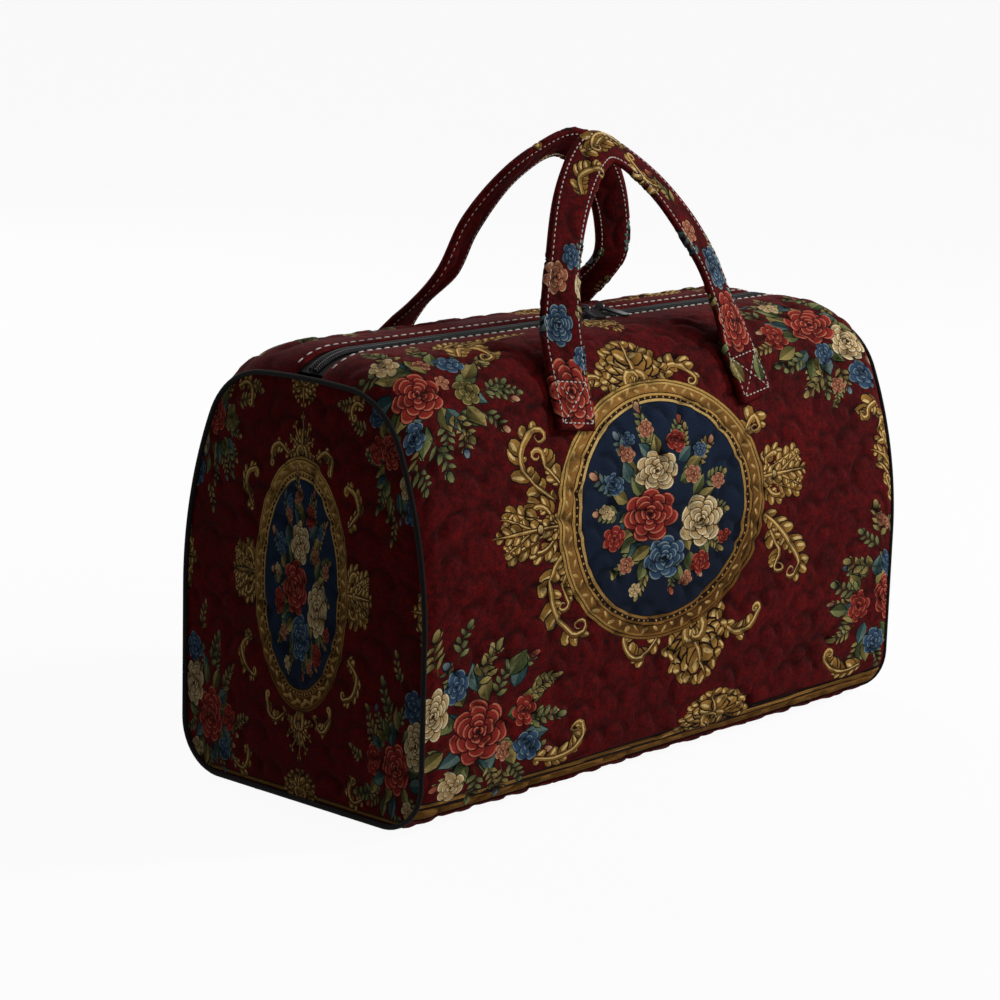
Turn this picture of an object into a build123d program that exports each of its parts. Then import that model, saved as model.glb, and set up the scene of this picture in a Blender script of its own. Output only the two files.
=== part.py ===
import os
from math import acos, cos, degrees, hypot, radians, sin, sqrt

from build123d import *

os.makedirs("parts", exist_ok=True)

# Travel bag: an arched body of quilted printed cloth on a flat base, with a long
# coil zip along its top, two sliders, corded end seams and two carrying straps.
# The origin is the middle of the base on the floor, X runs along the zip and the
# front faces -Y. All lengths are in millimetres, angles in degrees.

# Overall size of the body
bag_length = 520.0
bag_depth = 230.0
bag_height = 305.0

# Cloth walls: a printed face on a padded quilted layer
cloth = 4.0
print_layer = 0.35
print_bond = 0.05
seam_gap = 0.3
lining_inset = print_layer + print_bond + cloth

# The arched section, as tangent arcs from the base corner up to the crown
base_radius = 37.0
side_radius = 316.0
side_turn = 23.2
shoulder_radius = 57.0
shoulder_turn = 86.0

# The ridge is level over the zip's travel and rounds down towards each end seam
level_half = 215.0
fall_run = 45.0
fall_depth = 28.0
fall_steps = 3

# Corded end seams
piping_diameter = 5.0
piping_sides = 6

# Zip
zip_window = 22.0
tape_lap = 5.0
tape_thickness = 0.8
coil_width = 4.4
coil_height = 3.8
coil_gap = 1.0
zip_end_margin = 5.0
zip_clearance = 0.3

# Sliders, which meet nose to nose, and their pulls
slider_length = 15.0
slider_nose_width = 13.6
slider_tail_width = 12.6
slider_plate = 1.3
slider_post = 0.8
slider_post_length = 5.0
slider_post_reach = 3.75
slider_nose_length = 5.0
slider_tail_length = 3.75
slider_meeting_x = 28.0
slider_parting = 0.6
slider_corner = 1.0
bar_length = 11.0
bar_rise = 4.2
bar_thickness = 1.4
bar_width = 2.2
bar_corner = 1.2
pull_clearance = 0.3
ring_wire = 1.3
ring_opening_length = 6.0
tab_length = 24.0
tab_width = 7.5
tab_thickness = 1.4
tab_hole_radius = 1.5
tab_margin = 1.6
tab_corner = 2.5
left_tab_splay = 24.0
right_tab_splay = 4.0

# Carrying straps
strap_thickness = 5.0
strap_seat_gap = 0.7
foot_width = 38.0
grip_width = 30.0
strap_centre_x = -3.0
foot_half_span = 98.5
foot_end_arc = 126.0
foot_top_arc = 94.0
leg_half_span = 92.0
leg_curl = 1.33
strap_top = 427.0
front_leg_y = 80.0
front_apex_y = 30.6
front_lean = 1.55
front_rise = 1.05
back_leg_y = 60.0
back_apex_y = -12.7
back_lean = 0.6
back_rise = 0.67
back_apex_shift = 9.0
back_shoulder_arc = 62.0
back_shoulder_lift = 6.0
leg_twist = 18.0
apex_twist = 45.0
foot_share = 0.14
foot_blend = 0.2
taper_share = 0.4
foot_toe = 2.0
strap_sections = 24

# Printed ornament: where the medallion sits on the front and on an end, its
# half-sizes, the width of its gilt frame, the reach of the palmettes round it,
# and the length, width and height of the gilt border line near the base
front_medallion = (-17.0, 200.0)
front_medallion_half = (91.0, 70.0)
front_frame_width = (20.0, 16.0)
front_spray = (42.0, 26.0)
front_border = (500.0, 6.0, 44.0)
end_medallion = (2.0, 146.0)
end_medallion_half = (33.0, 68.0)
end_frame_width = (8.0, 15.0)
end_spray = (16.0, 26.0)
end_border = (180.0, 4.0, 9.0)
petals = 5
petal_depth = 0.14
palmette_lobes = 5
palmette_depth = 0.4
scroll_share = 0.6
oval_sides = 20

half_depth = bag_depth / 2
a1, a2 = radians(side_turn), radians(shoulder_turn)
crown_radius = shoulder_radius + (
    half_depth - side_radius + (side_radius - shoulder_radius) * cos(a1)
) / cos(a2)
arch_rise = (
    (side_radius - shoulder_radius) * sin(a1)
    + (shoulder_radius - crown_radius) * sin(a2)
    + crown_radius
)
arch_foot = bag_height - arch_rise
wall_end = bag_length / 2 - piping_diameter - seam_gap


def fall(x):
    """How far the ridge has come down at x."""
    run = max(0.0, abs(x) - level_half) / fall_run
    return fall_depth * (1 - sqrt(max(0.0, 1 - run * run)))


end_fall = fall(wall_end)


def arc_centres(drop):
    """Centres of the side, shoulder and crown arcs, in Y and Z."""
    side = (half_depth - side_radius, arch_foot - drop)
    shoulder = (
        side[0] + (side_radius - shoulder_radius) * cos(a1),
        side[1] + (side_radius - shoulder_radius) * sin(a1),
    )
    crown = (0.0, bag_height - drop - crown_radius)
    return side, shoulder, crown


def half_outline(inset, drop, edge_y):
    """Half of the section at +Y, from the base edge up to edge_y on the crown."""
    side, shoulder, crown = arc_centres(drop)
    end_turn = degrees(acos(edge_y / (crown_radius - inset)))
    CenterArc((half_depth - base_radius, base_radius), base_radius - inset, -90, 90)
    Line((half_depth - inset, base_radius), (half_depth - inset, side[1]))
    CenterArc(side, side_radius - inset, 0, side_turn)
    CenterArc(shoulder, shoulder_radius - inset, side_turn, shoulder_turn - side_turn)
    CenterArc(crown, crown_radius - inset, shoulder_turn, end_turn - shoulder_turn)


def crown_height(inset, drop, y):
    return bag_height - drop - crown_radius + sqrt((crown_radius - inset) ** 2 - y * y)


def wall_section(x, outer, inner):
    """Section of the back wall at x, between two insets from the outline."""
    drop = fall(x)
    edge_y = zip_window / 2
    base_y = half_depth - base_radius
    with BuildSketch(Plane.YZ.offset(x)) as section:
        with BuildLine():
            half_outline(outer, drop, edge_y)
            half_outline(inner, drop, edge_y)
            Line((base_y, outer), (base_y, inner))
            Line(
                (edge_y, crown_height(outer, drop, edge_y)),
                (edge_y, crown_height(inner, drop, edge_y)),
            )
        make_face()
    return section.sketch


def wall_shell(outer, inner):
    """The back wall between two insets: a level length and a fall at each end."""
    sections = [wall_section(x, outer, inner) for x in wall_stations]
    middle = len(sections) // 2
    extrude(sections[middle - 1], amount=2 * level_half)
    loft(sections[:middle], ruled=True)
    loft(sections[middle:], ruled=True)


zip_end = wall_end - zip_end_margin
rise_steps = [level_half + (zip_end - level_half) * i / fall_steps for i in range(fall_steps + 1)]
rise_steps.append(wall_end)
wall_stations = [-x for x in reversed(rise_steps)] + rise_steps

# Front and back walls: quilted cloth from the zip down round the base corner
with BuildPart() as back_panel:
    wall_shell(print_layer + print_bond, lining_inset)

with BuildPart() as front_panel:
    mirror(back_panel.part, about=Plane.XZ)

# Base: flat quilted cloth between the two base seams
with BuildPart() as base_panel:
    with BuildSketch():
        Rectangle(2 * wall_end, bag_depth - 2 * base_radius)
    extrude(amount=cloth)


# End walls: flat arched panels inside the corded seams
end_inset = piping_diameter + seam_gap
end_face = bag_length / 2 - piping_diameter / 2
with BuildPart() as right_end_panel:
    with BuildSketch(Plane.YZ.offset(end_face - print_layer - print_bond - cloth)) as end_shape:
        with BuildLine():
            half_outline(end_inset, end_fall, 0.0)
            Line((half_depth - base_radius, end_inset), (0, end_inset))
            mirror(about=Plane.YZ)
        make_face()
    extrude(amount=cloth)

with BuildPart() as left_end_panel:
    mirror(right_end_panel.part, about=Plane.YZ)

# Piping: a covered cord caught in each end seam
with BuildPart() as right_piping:
    with BuildLine(Plane.YZ.offset(end_face)) as cord_line:
        half_outline(piping_diameter / 2, end_fall, 0.0)
        Line((half_depth - base_radius, piping_diameter / 2), (0, piping_diameter / 2))
        mirror(about=Plane.XZ)
    cord_start = Plane((end_face, 0, piping_diameter / 2), x_dir=(1, 0, 0), z_dir=(0, 1, 0))
    with BuildSketch(cord_start):
        RegularPolygon(piping_diameter / 2, piping_sides)
    sweep(path=cord_line.wires()[0])

with BuildPart() as left_piping:
    mirror(right_piping.part, about=Plane.YZ)

# Zip: two woven tapes sewn under the cloth edges, each with half of the coil
tape_top = crown_height(lining_inset, 0.0, zip_window / 2 + tape_lap) - seam_gap
zip_stations = wall_stations[1:-1]


def ridge_sections(y_low, y_high, z_low, z_high):
    """Sections of a strip along the zip that follows the fall of the ridge."""
    sections = []
    for station in zip_stations:
        with BuildSketch(Plane.YZ.offset(station)) as section:
            with Locations(((y_low + y_high) / 2, (z_low + z_high) / 2 - fall(station))):
                Rectangle(y_high - y_low, z_high - z_low)
        sections.append(section.sketch)
    return sections


with BuildPart() as back_zip_tape:
    tape_edge = zip_window / 2 + tape_lap
    loft(ridge_sections(coil_gap / 2, tape_edge, tape_top - tape_thickness, tape_top), ruled=True)

with BuildPart() as front_zip_tape:
    mirror(back_zip_tape.part, about=Plane.XZ)

with BuildPart() as back_zip_coil:
    coil_edge = coil_gap / 2 + coil_width
    loft(ridge_sections(coil_gap / 2, coil_edge, tape_top, tape_top + coil_height), ruled=True)

with BuildPart() as front_zip_coil:
    mirror(back_zip_coil.part, about=Plane.XZ)

# Slider: two plates joined by a post that runs between the coils, flanges that
# hold the coils in, and a bar along the top that the pull's ring hangs on
plate_low = tape_top - tape_thickness - zip_clearance - slider_plate
channel_low = tape_top - tape_thickness - zip_clearance
channel_high = tape_top + coil_height + zip_clearance
plate_high = channel_high + slider_plate
channel_half = coil_gap / 2 + coil_width + zip_clearance
bar_top = plate_high + bar_rise
with BuildPart() as right_slider:
    slider_nose_x = slider_meeting_x + slider_parting / 2
    slider_tail_x = slider_nose_x + slider_length
    slider_x = (slider_nose_x + slider_tail_x) / 2
    with BuildSketch(Plane.XY.offset(plate_low)):
        with BuildLine():
            Polyline(
                (slider_nose_x, -slider_nose_width / 2),
                (slider_nose_x + slider_nose_length, -slider_nose_width / 2),
                (slider_tail_x - slider_tail_length, -slider_tail_width / 2),
                (slider_tail_x, -slider_tail_width / 2),
                (slider_tail_x, slider_tail_width / 2),
                (slider_tail_x - slider_tail_length, slider_tail_width / 2),
                (slider_nose_x + slider_nose_length, slider_nose_width / 2),
                (slider_nose_x, slider_nose_width / 2),
                close=True,
            )
        make_face()
    extrude(amount=plate_high - plate_low)
    fillet(edges().filter_by(Axis.Z), radius=slider_corner)
    with BuildSketch(Plane.YZ.offset(slider_x - slider_length)):
        with Locations((0, (channel_low + channel_high) / 2)):
            Rectangle(2 * channel_half, channel_high - channel_low)
        with Locations((0, (channel_low + tape_top + zip_clearance) / 2)):
            Rectangle(2 * slider_nose_width, tape_top + zip_clearance - channel_low)
    extrude(amount=2 * slider_length, mode=Mode.SUBTRACT)
    with BuildSketch(Plane.XY.offset(plate_low)):
        with Locations((slider_nose_x + slider_post_reach, 0)):
            SlotOverall(slider_post_length, slider_post)
    extrude(amount=plate_high - plate_low)
    with BuildSketch(Plane.XZ.offset(-bar_width / 2)) as bar_side:
        with Locations((slider_x, plate_high + bar_rise / 2)):
            Rectangle(bar_length, bar_rise)
        fillet(bar_side.vertices().group_by(Axis.Y)[-1], radius=bar_corner)
        with Locations((slider_x, plate_high + (bar_rise - bar_thickness) / 2)):
            Rectangle(bar_length - 2 * bar_thickness, bar_rise - bar_thickness, mode=Mode.SUBTRACT)
    extrude(amount=bar_width)

# The left slider is the right one turned round, nose to nose with it
with BuildPart() as left_slider:
    with Locations(Location((2 * slider_meeting_x, 0, 0), (0, 0, 180))):
        add(right_slider.part)

# Pull: a flat ring round the slider's bar, and a tab hooked on the ring. The tab
# lies on the cloth in front of the zip.
hinge_z = bar_top - bar_thickness / 2
ring_opening_width = 2 * (hypot(bar_width, bar_thickness) / 2 + pull_clearance)
ring_near = -ring_opening_width / 2
ring_far = ring_near + ring_opening_length
tab_root = ring_far - pull_clearance - tab_margin
hole_reach = tab_root + tab_margin + tab_hole_radius
tab_reach = tab_root + tab_length
tab_drop = (
    hinge_z - tab_thickness / 2 - pull_clearance - crown_height(0, 0, tab_reach)
)
pull_reach = Vector(0, -cos(tab_drop / tab_reach), -sin(tab_drop / tab_reach))


def ring_shape(x):
    side = Plane((x - ring_wire / 2, 0, hinge_z), x_dir=pull_reach, z_dir=(1, 0, 0))
    with BuildSketch(side) as ring:
        with Locations(((ring_near + ring_far) / 2, 0)):
            SlotOverall(ring_opening_length + 2 * ring_wire, ring_opening_width + 2 * ring_wire)
            SlotOverall(ring_opening_length, ring_opening_width, mode=Mode.SUBTRACT)
    return ring.sketch


def tab_shape(x, splay):
    lifted = pull_reach.cross(Vector(1, 0, 0))
    origin = Vector(x, 0, hinge_z) - lifted * (tab_thickness / 2)
    flat = Plane(origin, x_dir=pull_reach, z_dir=lifted)
    with BuildSketch(flat) as tab:
        with Locations(Location((hole_reach, 0, 0), (0, 0, splay))):
            with Locations((tab_root + tab_length / 2 - hole_reach, 0)):
                RectangleRounded(tab_length, tab_width, tab_corner)
            Circle(tab_hole_radius, mode=Mode.SUBTRACT)
    return tab.sketch


left_slider_x = 2 * slider_meeting_x - slider_x
with BuildPart() as left_pull_ring:
    extrude(ring_shape(left_slider_x), amount=ring_wire)

with BuildPart() as right_pull_ring:
    extrude(ring_shape(slider_x), amount=ring_wire)

with BuildPart() as left_pull_tab:
    extrude(tab_shape(left_slider_x, -left_tab_splay), amount=tab_thickness)

with BuildPart() as right_pull_tab:
    extrude(tab_shape(slider_x, right_tab_splay), amount=tab_thickness)


def surface_point(arc, lift):
    """Point of the mid-length section at +Y, an arc length down from the zip."""
    side, shoulder, crown = arc_centres(0.0)
    crown_arc = crown_radius * (radians(90) - a2)
    shoulder_arc = shoulder_radius * (a2 - a1)
    if arc < crown_arc:
        centre, radius, turn = crown, crown_radius, radians(90) - arc / crown_radius
    elif arc < crown_arc + shoulder_arc:
        centre, radius, turn = shoulder, shoulder_radius, a2 - (arc - crown_arc) / shoulder_radius
    else:
        beyond = arc - crown_arc - shoulder_arc
        centre, radius, turn = side, side_radius, a1 - beyond / side_radius
    return centre[0] + (radius + lift) * cos(turn), centre[1] + (radius + lift) * sin(turn)


def ease(value):
    held = min(1.0, max(0.0, value))
    return held * held * (3 - 2 * held)


def strap_half(leg_y, apex_y, lean, rise, shift, over_shoulder):
    """Centre line of half a strap, from its foot to its top: each point's distance
    from the strap's middle, its Y and Z, and how far the strap leans along X there."""
    seat = strap_thickness / 2 + strap_seat_gap
    points = []
    for arc in (foot_end_arc, (foot_end_arc + foot_top_arc) / 2, foot_top_arc):
        y, z = surface_point(arc, seat)
        outward = (arc - foot_top_arc) / (foot_end_arc - foot_top_arc)
        x = leg_half_span + foot_toe + (foot_half_span - leg_half_span - foot_toe) * outward
        points.append((x, y, z, 0.0))
    root_z = points[-1][2]
    if over_shoulder:
        y, z = surface_point(back_shoulder_arc, seat + back_shoulder_lift)
        points.append((leg_half_span, y, z, 0.0))
    for turn in (15, 30, 50, 70, 90):
        height = sin(radians(turn)) ** rise
        x = leg_half_span * max(0.0, cos(radians(turn))) ** leg_curl
        y = leg_y + (apex_y - leg_y) * height**lean
        z = root_z + (strap_top - root_z) * height
        points.append((x, y, z, shift * sin(radians(turn)) ** 2))
    return points


def strap_shapes(points, facing):
    """Sections of a strap along its centre line, flat on the wall at its feet
    and turned edge-up towards its top."""
    sections = []
    left = [(strap_centre_x - x + lean, facing * y, z) for x, y, z, lean in points]
    right = [(strap_centre_x + x + lean, facing * y, z) for x, y, z, lean in points]
    with BuildLine() as route:
        Spline(*left[:-1], *reversed(right))
    for i in range(strap_sections + 1):
        share = i / strap_sections
        along = route.line % share
        climb = 1 - abs(2 * share - 1)
        twist = leg_twist * ease((climb - foot_share) / foot_blend)
        twist = radians(twist + (apex_twist - leg_twist) * ease(2 * climb - 1))
        width = foot_width + (grip_width - foot_width) * ease((climb - foot_share) / taper_share)
        seated = Vector(0, along.Z, -along.Y) * (1 if share < 0.5 else -1)
        raised = (Vector(0, 1, 0) - along * along.Y).normalized()
        lift_off = ease((climb - foot_share) / foot_blend)
        across = (seated * (1 - lift_off) + raised * lift_off).normalized()
        normal = across * (facing * cos(twist)) + along.cross(across) * sin(twist)
        across_plane = Plane(route.line @ share, x_dir=normal.cross(along), z_dir=along)
        with BuildSketch(across_plane) as section:
            Rectangle(width, strap_thickness)
        sections.append(section.sketch)
    return sections


# Carrying straps: doubled quilted cloth, sewn flat on the walls at both feet
with BuildPart() as front_handle:
    front_half = strap_half(front_leg_y, front_apex_y, front_lean, front_rise, 0, False)
    loft(strap_shapes(front_half, -1), ruled=True)

with BuildPart() as back_handle:
    back_half = strap_half(
        back_leg_y, -back_apex_y, back_lean, back_rise, back_apex_shift, True
    )
    loft(strap_shapes(back_half, 1), ruled=True)

# Print: a medallion with a gilt frame and palmettes, and roses in it and in the
# corners, as thin fields of colour on the cloth. Flower heads are given as X, Z,
# half-width and half-height, leaves with a turn as well.
front_reds = [
    (-34, 200, 26, 21),
    (-213, 92, 34, 25),
    (-225, 285, 27, 17),
    (196, 289, 27, 15),
    (244, 98, 22, 20),
]
front_creams = [(-20, 226, 22, 17), (24, 194, 24, 20), (-247, 122, 16, 18), (232, 280, 20, 15)]
front_blues = [(-16, 172, 20, 14), (-160, 72, 18, 13), (230, 72, 20, 13)]
front_sprigs = [
    (-60, 224, 16, 6, 120),
    (32, 162, 15, 6, -30),
    (-188, 122, 20, 8, 35),
    (-190, 286, 20, 7, -25),
    (206, 118, 20, 8, 140),
]
end_reds = [
    (-6, 140, 10, 19),
    (-85, 43, 12, 20),
    (89, 43, 12, 20),
    (-79, 244, 10, 14),
    (81, 246, 10, 14),
]
end_creams = [(2, 167, 9, 15), (14, 130, 9, 16), (-101, 62, 6, 13), (104, 62, 6, 13)]
end_blues = [(-4, 112, 8, 13), (-103, 88, 6, 11), (104, 88, 6, 11)]
end_sprigs = [
    (-14, 162, 14, 4, 110),
    (16, 104, 14, 4, -50),
    (-18, 122, 13, 4, 20),
    (-70, 66, 15, 5, 60),
    (72, 66, 15, 5, 120),
]


def lobed(plane, spots, lobes, depth):
    """Lobed outlines: a flower head, a palmette or, with no depth, a plain oval."""
    with BuildSketch(plane) as heads:
        for x, z, half_x, half_z in spots:
            outline = []
            for i in range(2 * lobes):
                reach = 1.0 - depth * (i % 2)
                turn = radians(180 * i / lobes)
                outline.append((x + half_x * reach * cos(turn), z + half_z * reach * sin(turn)))
            with BuildLine():
                Polyline(*outline, close=True)
            make_face()
    return heads.sketch


def flower_heads(plane, spots):
    return lobed(plane, spots, petals, petal_depth)


def oval(plane, centre, half):
    return lobed(plane, [(*centre, *half)], oval_sides // 2, 0.0)


def leaves(plane, spots):
    """Pointed leaves."""
    with BuildSketch(plane) as sprig:
        for x, z, half_x, half_z, turn in spots:
            with Locations(Location((x, z, 0), (0, 0, turn))):
                Polygon((-half_x, 0), (0, half_z), (half_x, 0), (0, -half_z))
    return sprig.sketch


def gilding(plane, centre, half, width, spray, border):
    """Oval frame with a palmette at each pole, scrolls between, and the border."""
    spots = []
    for i in range(8):
        turn = radians(45 * i)
        x = centre[0] + (half[0] + width[0]) * cos(turn)
        z = centre[1] + (half[1] + width[1]) * sin(turn)
        share = 1.0 if i % 2 == 0 else scroll_share
        spots.append((x, z, spray[0] * share, spray[1] * share))
    with BuildSketch(plane) as gilt:
        add(lobed(plane, spots, palmette_lobes, palmette_depth))
        add(oval(plane, centre, (half[0] + width[0], half[1] + width[1])))
        add(oval(plane, centre, half), mode=Mode.SUBTRACT)
        with Locations((0, border[2])):
            Rectangle(border[0], border[1])
    return gilt.sketch


def printed(shape, covered, depth, layer):
    """One colour of the print: its shape less the colours over it."""
    with BuildPart() as colour:
        extrude(shape, amount=depth)
        for over in covered:
            extrude(over, amount=depth, mode=Mode.SUBTRACT)
        add(layer, mode=Mode.INTERSECT)
    return colour


with BuildPart() as back_layer:
    wall_shell(0.0, print_layer)

with BuildPart() as front_layer:
    mirror(back_layer.part, about=Plane.XZ)

end_layer_x = end_face - print_layer
with BuildPart() as left_layer:
    extrude(left_end_panel.faces().sort_by(Axis.X)[0], amount=print_layer + print_bond)

front_art = Plane((0, 0, 0), x_dir=(1, 0, 0), z_dir=(0, -1, 0))
left_art = Plane((-end_layer_x, 0, 0), x_dir=(0, -1, 0), z_dir=(-1, 0, 0))
front_colours = {
    "red_roses": flower_heads(front_art, front_reds),
    "cream_roses": flower_heads(front_art, front_creams),
    "blue_roses": flower_heads(front_art, front_blues),
    "leaves": leaves(front_art, front_sprigs),
    "gilding": gilding(
        front_art,
        front_medallion,
        front_medallion_half,
        front_frame_width,
        front_spray,
        front_border,
    ),
    "navy_field": oval(front_art, front_medallion, front_medallion_half),
}
left_colours = {
    "red_roses": flower_heads(left_art, end_reds),
    "cream_roses": flower_heads(left_art, end_creams),
    "blue_roses": flower_heads(left_art, end_blues),
    "leaves": leaves(left_art, end_sprigs),
    "gilding": gilding(
        left_art, end_medallion, end_medallion_half, end_frame_width, end_spray, end_border
    ),
    "navy_field": oval(left_art, end_medallion, end_medallion_half),
}

pieces = {
    "base_panel": base_panel,
    "front_panel": front_panel,
    "back_panel": back_panel,
    "left_end_panel": left_end_panel,
    "right_end_panel": right_end_panel,
    "left_piping": left_piping,
    "right_piping": right_piping,
    "front_zip_tape": front_zip_tape,
    "back_zip_tape": back_zip_tape,
    "front_zip_coil": front_zip_coil,
    "back_zip_coil": back_zip_coil,
    "left_slider": left_slider,
    "right_slider": right_slider,
    "left_pull_ring": left_pull_ring,
    "right_pull_ring": right_pull_ring,
    "left_pull_tab": left_pull_tab,
    "right_pull_tab": right_pull_tab,
    "front_handle": front_handle,
    "back_handle": back_handle,
}

# The back is printed as the front is, and the right end as the left
half_turn = Location((0, 0, 0), (0, 0, 180))
for side, other, colours, depth, layer in (
    ("front", "back", front_colours, half_depth, front_layer.part),
    ("left", "right", left_colours, print_layer, left_layer.part),
):
    covered = []
    for colour, shape in colours.items():
        near = printed(shape, covered, depth, layer)
        covered.append(shape)
        with BuildPart() as far:
            with Locations(half_turn):
                add(near.part)
        pieces[f"{side}_{colour}"] = near
        pieces[f"{other}_{colour}"] = far

for name, piece in pieces.items():
    piece.part.label = name
    export_step(piece.part, f"parts/{name}.step")
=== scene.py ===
import math
import random

import bmesh
import bpy
import numpy as np
from mathutils import Matrix, Vector
from mathutils.geometry import delaunay_2d_cdt


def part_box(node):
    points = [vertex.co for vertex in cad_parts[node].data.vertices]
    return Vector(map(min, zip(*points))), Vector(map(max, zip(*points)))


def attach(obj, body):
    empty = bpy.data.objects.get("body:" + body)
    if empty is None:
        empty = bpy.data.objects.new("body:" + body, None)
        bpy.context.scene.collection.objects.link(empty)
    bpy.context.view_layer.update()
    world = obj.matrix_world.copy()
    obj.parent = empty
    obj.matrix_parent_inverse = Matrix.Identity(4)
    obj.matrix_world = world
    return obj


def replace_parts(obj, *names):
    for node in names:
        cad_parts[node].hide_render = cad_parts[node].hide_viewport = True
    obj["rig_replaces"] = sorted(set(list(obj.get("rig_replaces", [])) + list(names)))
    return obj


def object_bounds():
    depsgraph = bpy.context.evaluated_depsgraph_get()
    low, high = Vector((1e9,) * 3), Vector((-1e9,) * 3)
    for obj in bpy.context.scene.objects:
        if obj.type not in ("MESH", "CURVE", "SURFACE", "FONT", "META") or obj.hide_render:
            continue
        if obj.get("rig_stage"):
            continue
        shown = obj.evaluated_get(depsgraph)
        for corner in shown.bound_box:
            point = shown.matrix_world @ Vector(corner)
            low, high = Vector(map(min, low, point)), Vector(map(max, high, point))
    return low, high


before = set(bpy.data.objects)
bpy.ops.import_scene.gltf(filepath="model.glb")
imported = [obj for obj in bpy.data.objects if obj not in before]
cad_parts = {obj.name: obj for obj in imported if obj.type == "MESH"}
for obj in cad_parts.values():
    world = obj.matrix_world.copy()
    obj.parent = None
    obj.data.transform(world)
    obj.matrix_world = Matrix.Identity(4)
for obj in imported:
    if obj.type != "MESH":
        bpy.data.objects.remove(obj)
cad_box = [list(corner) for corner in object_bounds()]

# Camera: a long lens at the photograph's angle, from the front left and a little
# above, rolled by the two degrees that the photograph leans.
view_turn = math.radians(-49.32)
view_rise = math.radians(12.46)
view_roll = math.radians(1.90)
view_reach = 2.1764
view_aim = Vector((0.0, 0.0, 0.150))
sensor_width = 36.0
focal_length = 108.71
shift_across, shift_up = -0.0584, 0.0292

away = Vector(
    (
        math.sin(view_turn) * math.cos(view_rise),
        -math.cos(view_turn) * math.cos(view_rise),
        math.sin(view_rise),
    )
)
level_right = (-away).cross(Vector((0, 0, 1))).normalized()
level_up = level_right.cross(-away)
right = level_right * math.cos(view_roll) + level_up * math.sin(view_roll)
up = level_up * math.cos(view_roll) - level_right * math.sin(view_roll)
bpy.ops.object.camera_add()
camera = bpy.context.object
camera.matrix_world = Matrix.Translation(view_aim + away * view_reach) @ (
    Matrix((right, up, away)).transposed().to_4x4()
)
camera.data.sensor_width = sensor_width
camera.data.lens = focal_length
camera.data.shift_x, camera.data.shift_y = shift_across, shift_up
bpy.context.scene.camera = camera
bpy.context.scene.view_settings.view_transform = "Standard"


def linear(colour):
    """A hex colour, as it looks on a screen, as the linear colour of a shader."""
    values = [int(colour[i : i + 2], 16) / 255 for i in (1, 3, 5)]
    return [v / 12.92 if v <= 0.04045 else ((v + 0.055) / 1.055) ** 2.4 for v in values] + [1.0]


def node(material, kind, inputs=None, **settings):
    """Adds a node. inputs maps a socket to its value or to the output that feeds it."""
    made = material.node_tree.nodes.new("ShaderNode" + kind)
    for name, value in settings.items():
        setattr(made, name, value)
    for socket, value in (inputs or {}).items():
        if isinstance(value, bpy.types.NodeSocket):
            material.node_tree.links.new(value, made.inputs[socket])
        else:
            made.inputs[socket].default_value = value
    return made


# Floor and light: a white studio sheet that keeps a faint shadow, one lamp high on
# the right, which leaves the left end in shade, a weak fill from the front and one
# behind. Each lamp has its place, the width of its face in metres and its watts.
floor_size = 60.0
floor_white, floor_grey = "#9a9a9a", "#4a4a4a"
floor_glow, sky_strength = 0.94, 0.09
key_lamp = (Vector((2.15, -1.45, 1.55)), 0.40, 45.0)
fill_lamp = (Vector((0.5, -2.6, 1.3)), 1.6, 15.0)
back_lamp = (Vector((0.6, 2.6, 1.7)), 1.6, 26.0)
lamp_aim = Vector((0.0, 0.0, 0.2))


def bare_material(name):
    """A new material with no node in it yet."""
    made = bpy.data.materials.new(name)
    made.use_nodes = True
    made.node_tree.nodes.clear()
    return made


bpy.ops.mesh.primitive_plane_add(size=floor_size)
floor = bpy.context.object
floor.name = "studio_floor"
# Matt paper, lit until the eye finds no edge or horizon in it.
paper = bare_material("white_paper_sweep")
sight = node(paper, "LightPath")
rays = {0: sight.outputs["Is Camera Ray"], 1: sight.outputs["Is Glossy Ray"]}
seen = node(paper, "Math", rays, operation="MAXIMUM").outputs[0]
matt = node(paper, "BsdfDiffuse", {"Color": linear(floor_white)})
dull = node(paper, "BsdfDiffuse", {"Color": linear(floor_grey)})
glow = node(paper, "Emission", {"Color": linear("#ffffff"), "Strength": floor_glow})
lit = node(paper, "AddShader", {0: dull.outputs[0], 1: glow.outputs[0]})
sheet = node(paper, "MixShader", {0: seen, 1: matt.outputs[0], 2: lit.outputs[0]})
node(paper, "OutputMaterial", {"Surface": sheet.outputs[0]})
floor.data.materials.append(paper)
floor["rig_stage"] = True

sky = bpy.data.worlds.new("studio_sky")
bpy.context.scene.world = sky
sky.use_nodes = True
sky.node_tree.nodes.clear()
sight = node(sky, "LightPath")
rays = {0: sight.outputs["Is Camera Ray"], 1: sight.outputs["Is Glossy Ray"]}
seen = node(sky, "Math", rays, operation="MAXIMUM").outputs[0]
soft = node(sky, "Background", {"Color": linear("#ffffff"), "Strength": sky_strength})
white = node(sky, "Background", {"Color": linear("#ffffff"), "Strength": 1.0})
mixed = node(sky, "MixShader", {0: seen, 1: soft.outputs[0], 2: white.outputs[0]})
node(sky, "OutputWorld", {"Surface": mixed.outputs[0]})

for place, size, power in (key_lamp, fill_lamp, back_lamp):
    bpy.ops.object.light_add(type="AREA", location=place)
    lamp = bpy.context.object
    lamp.data.size = size
    lamp.data.energy = power
    lamp.rotation_euler = (place - lamp_aim).to_track_quat("Z", "Y").to_euler()

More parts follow.
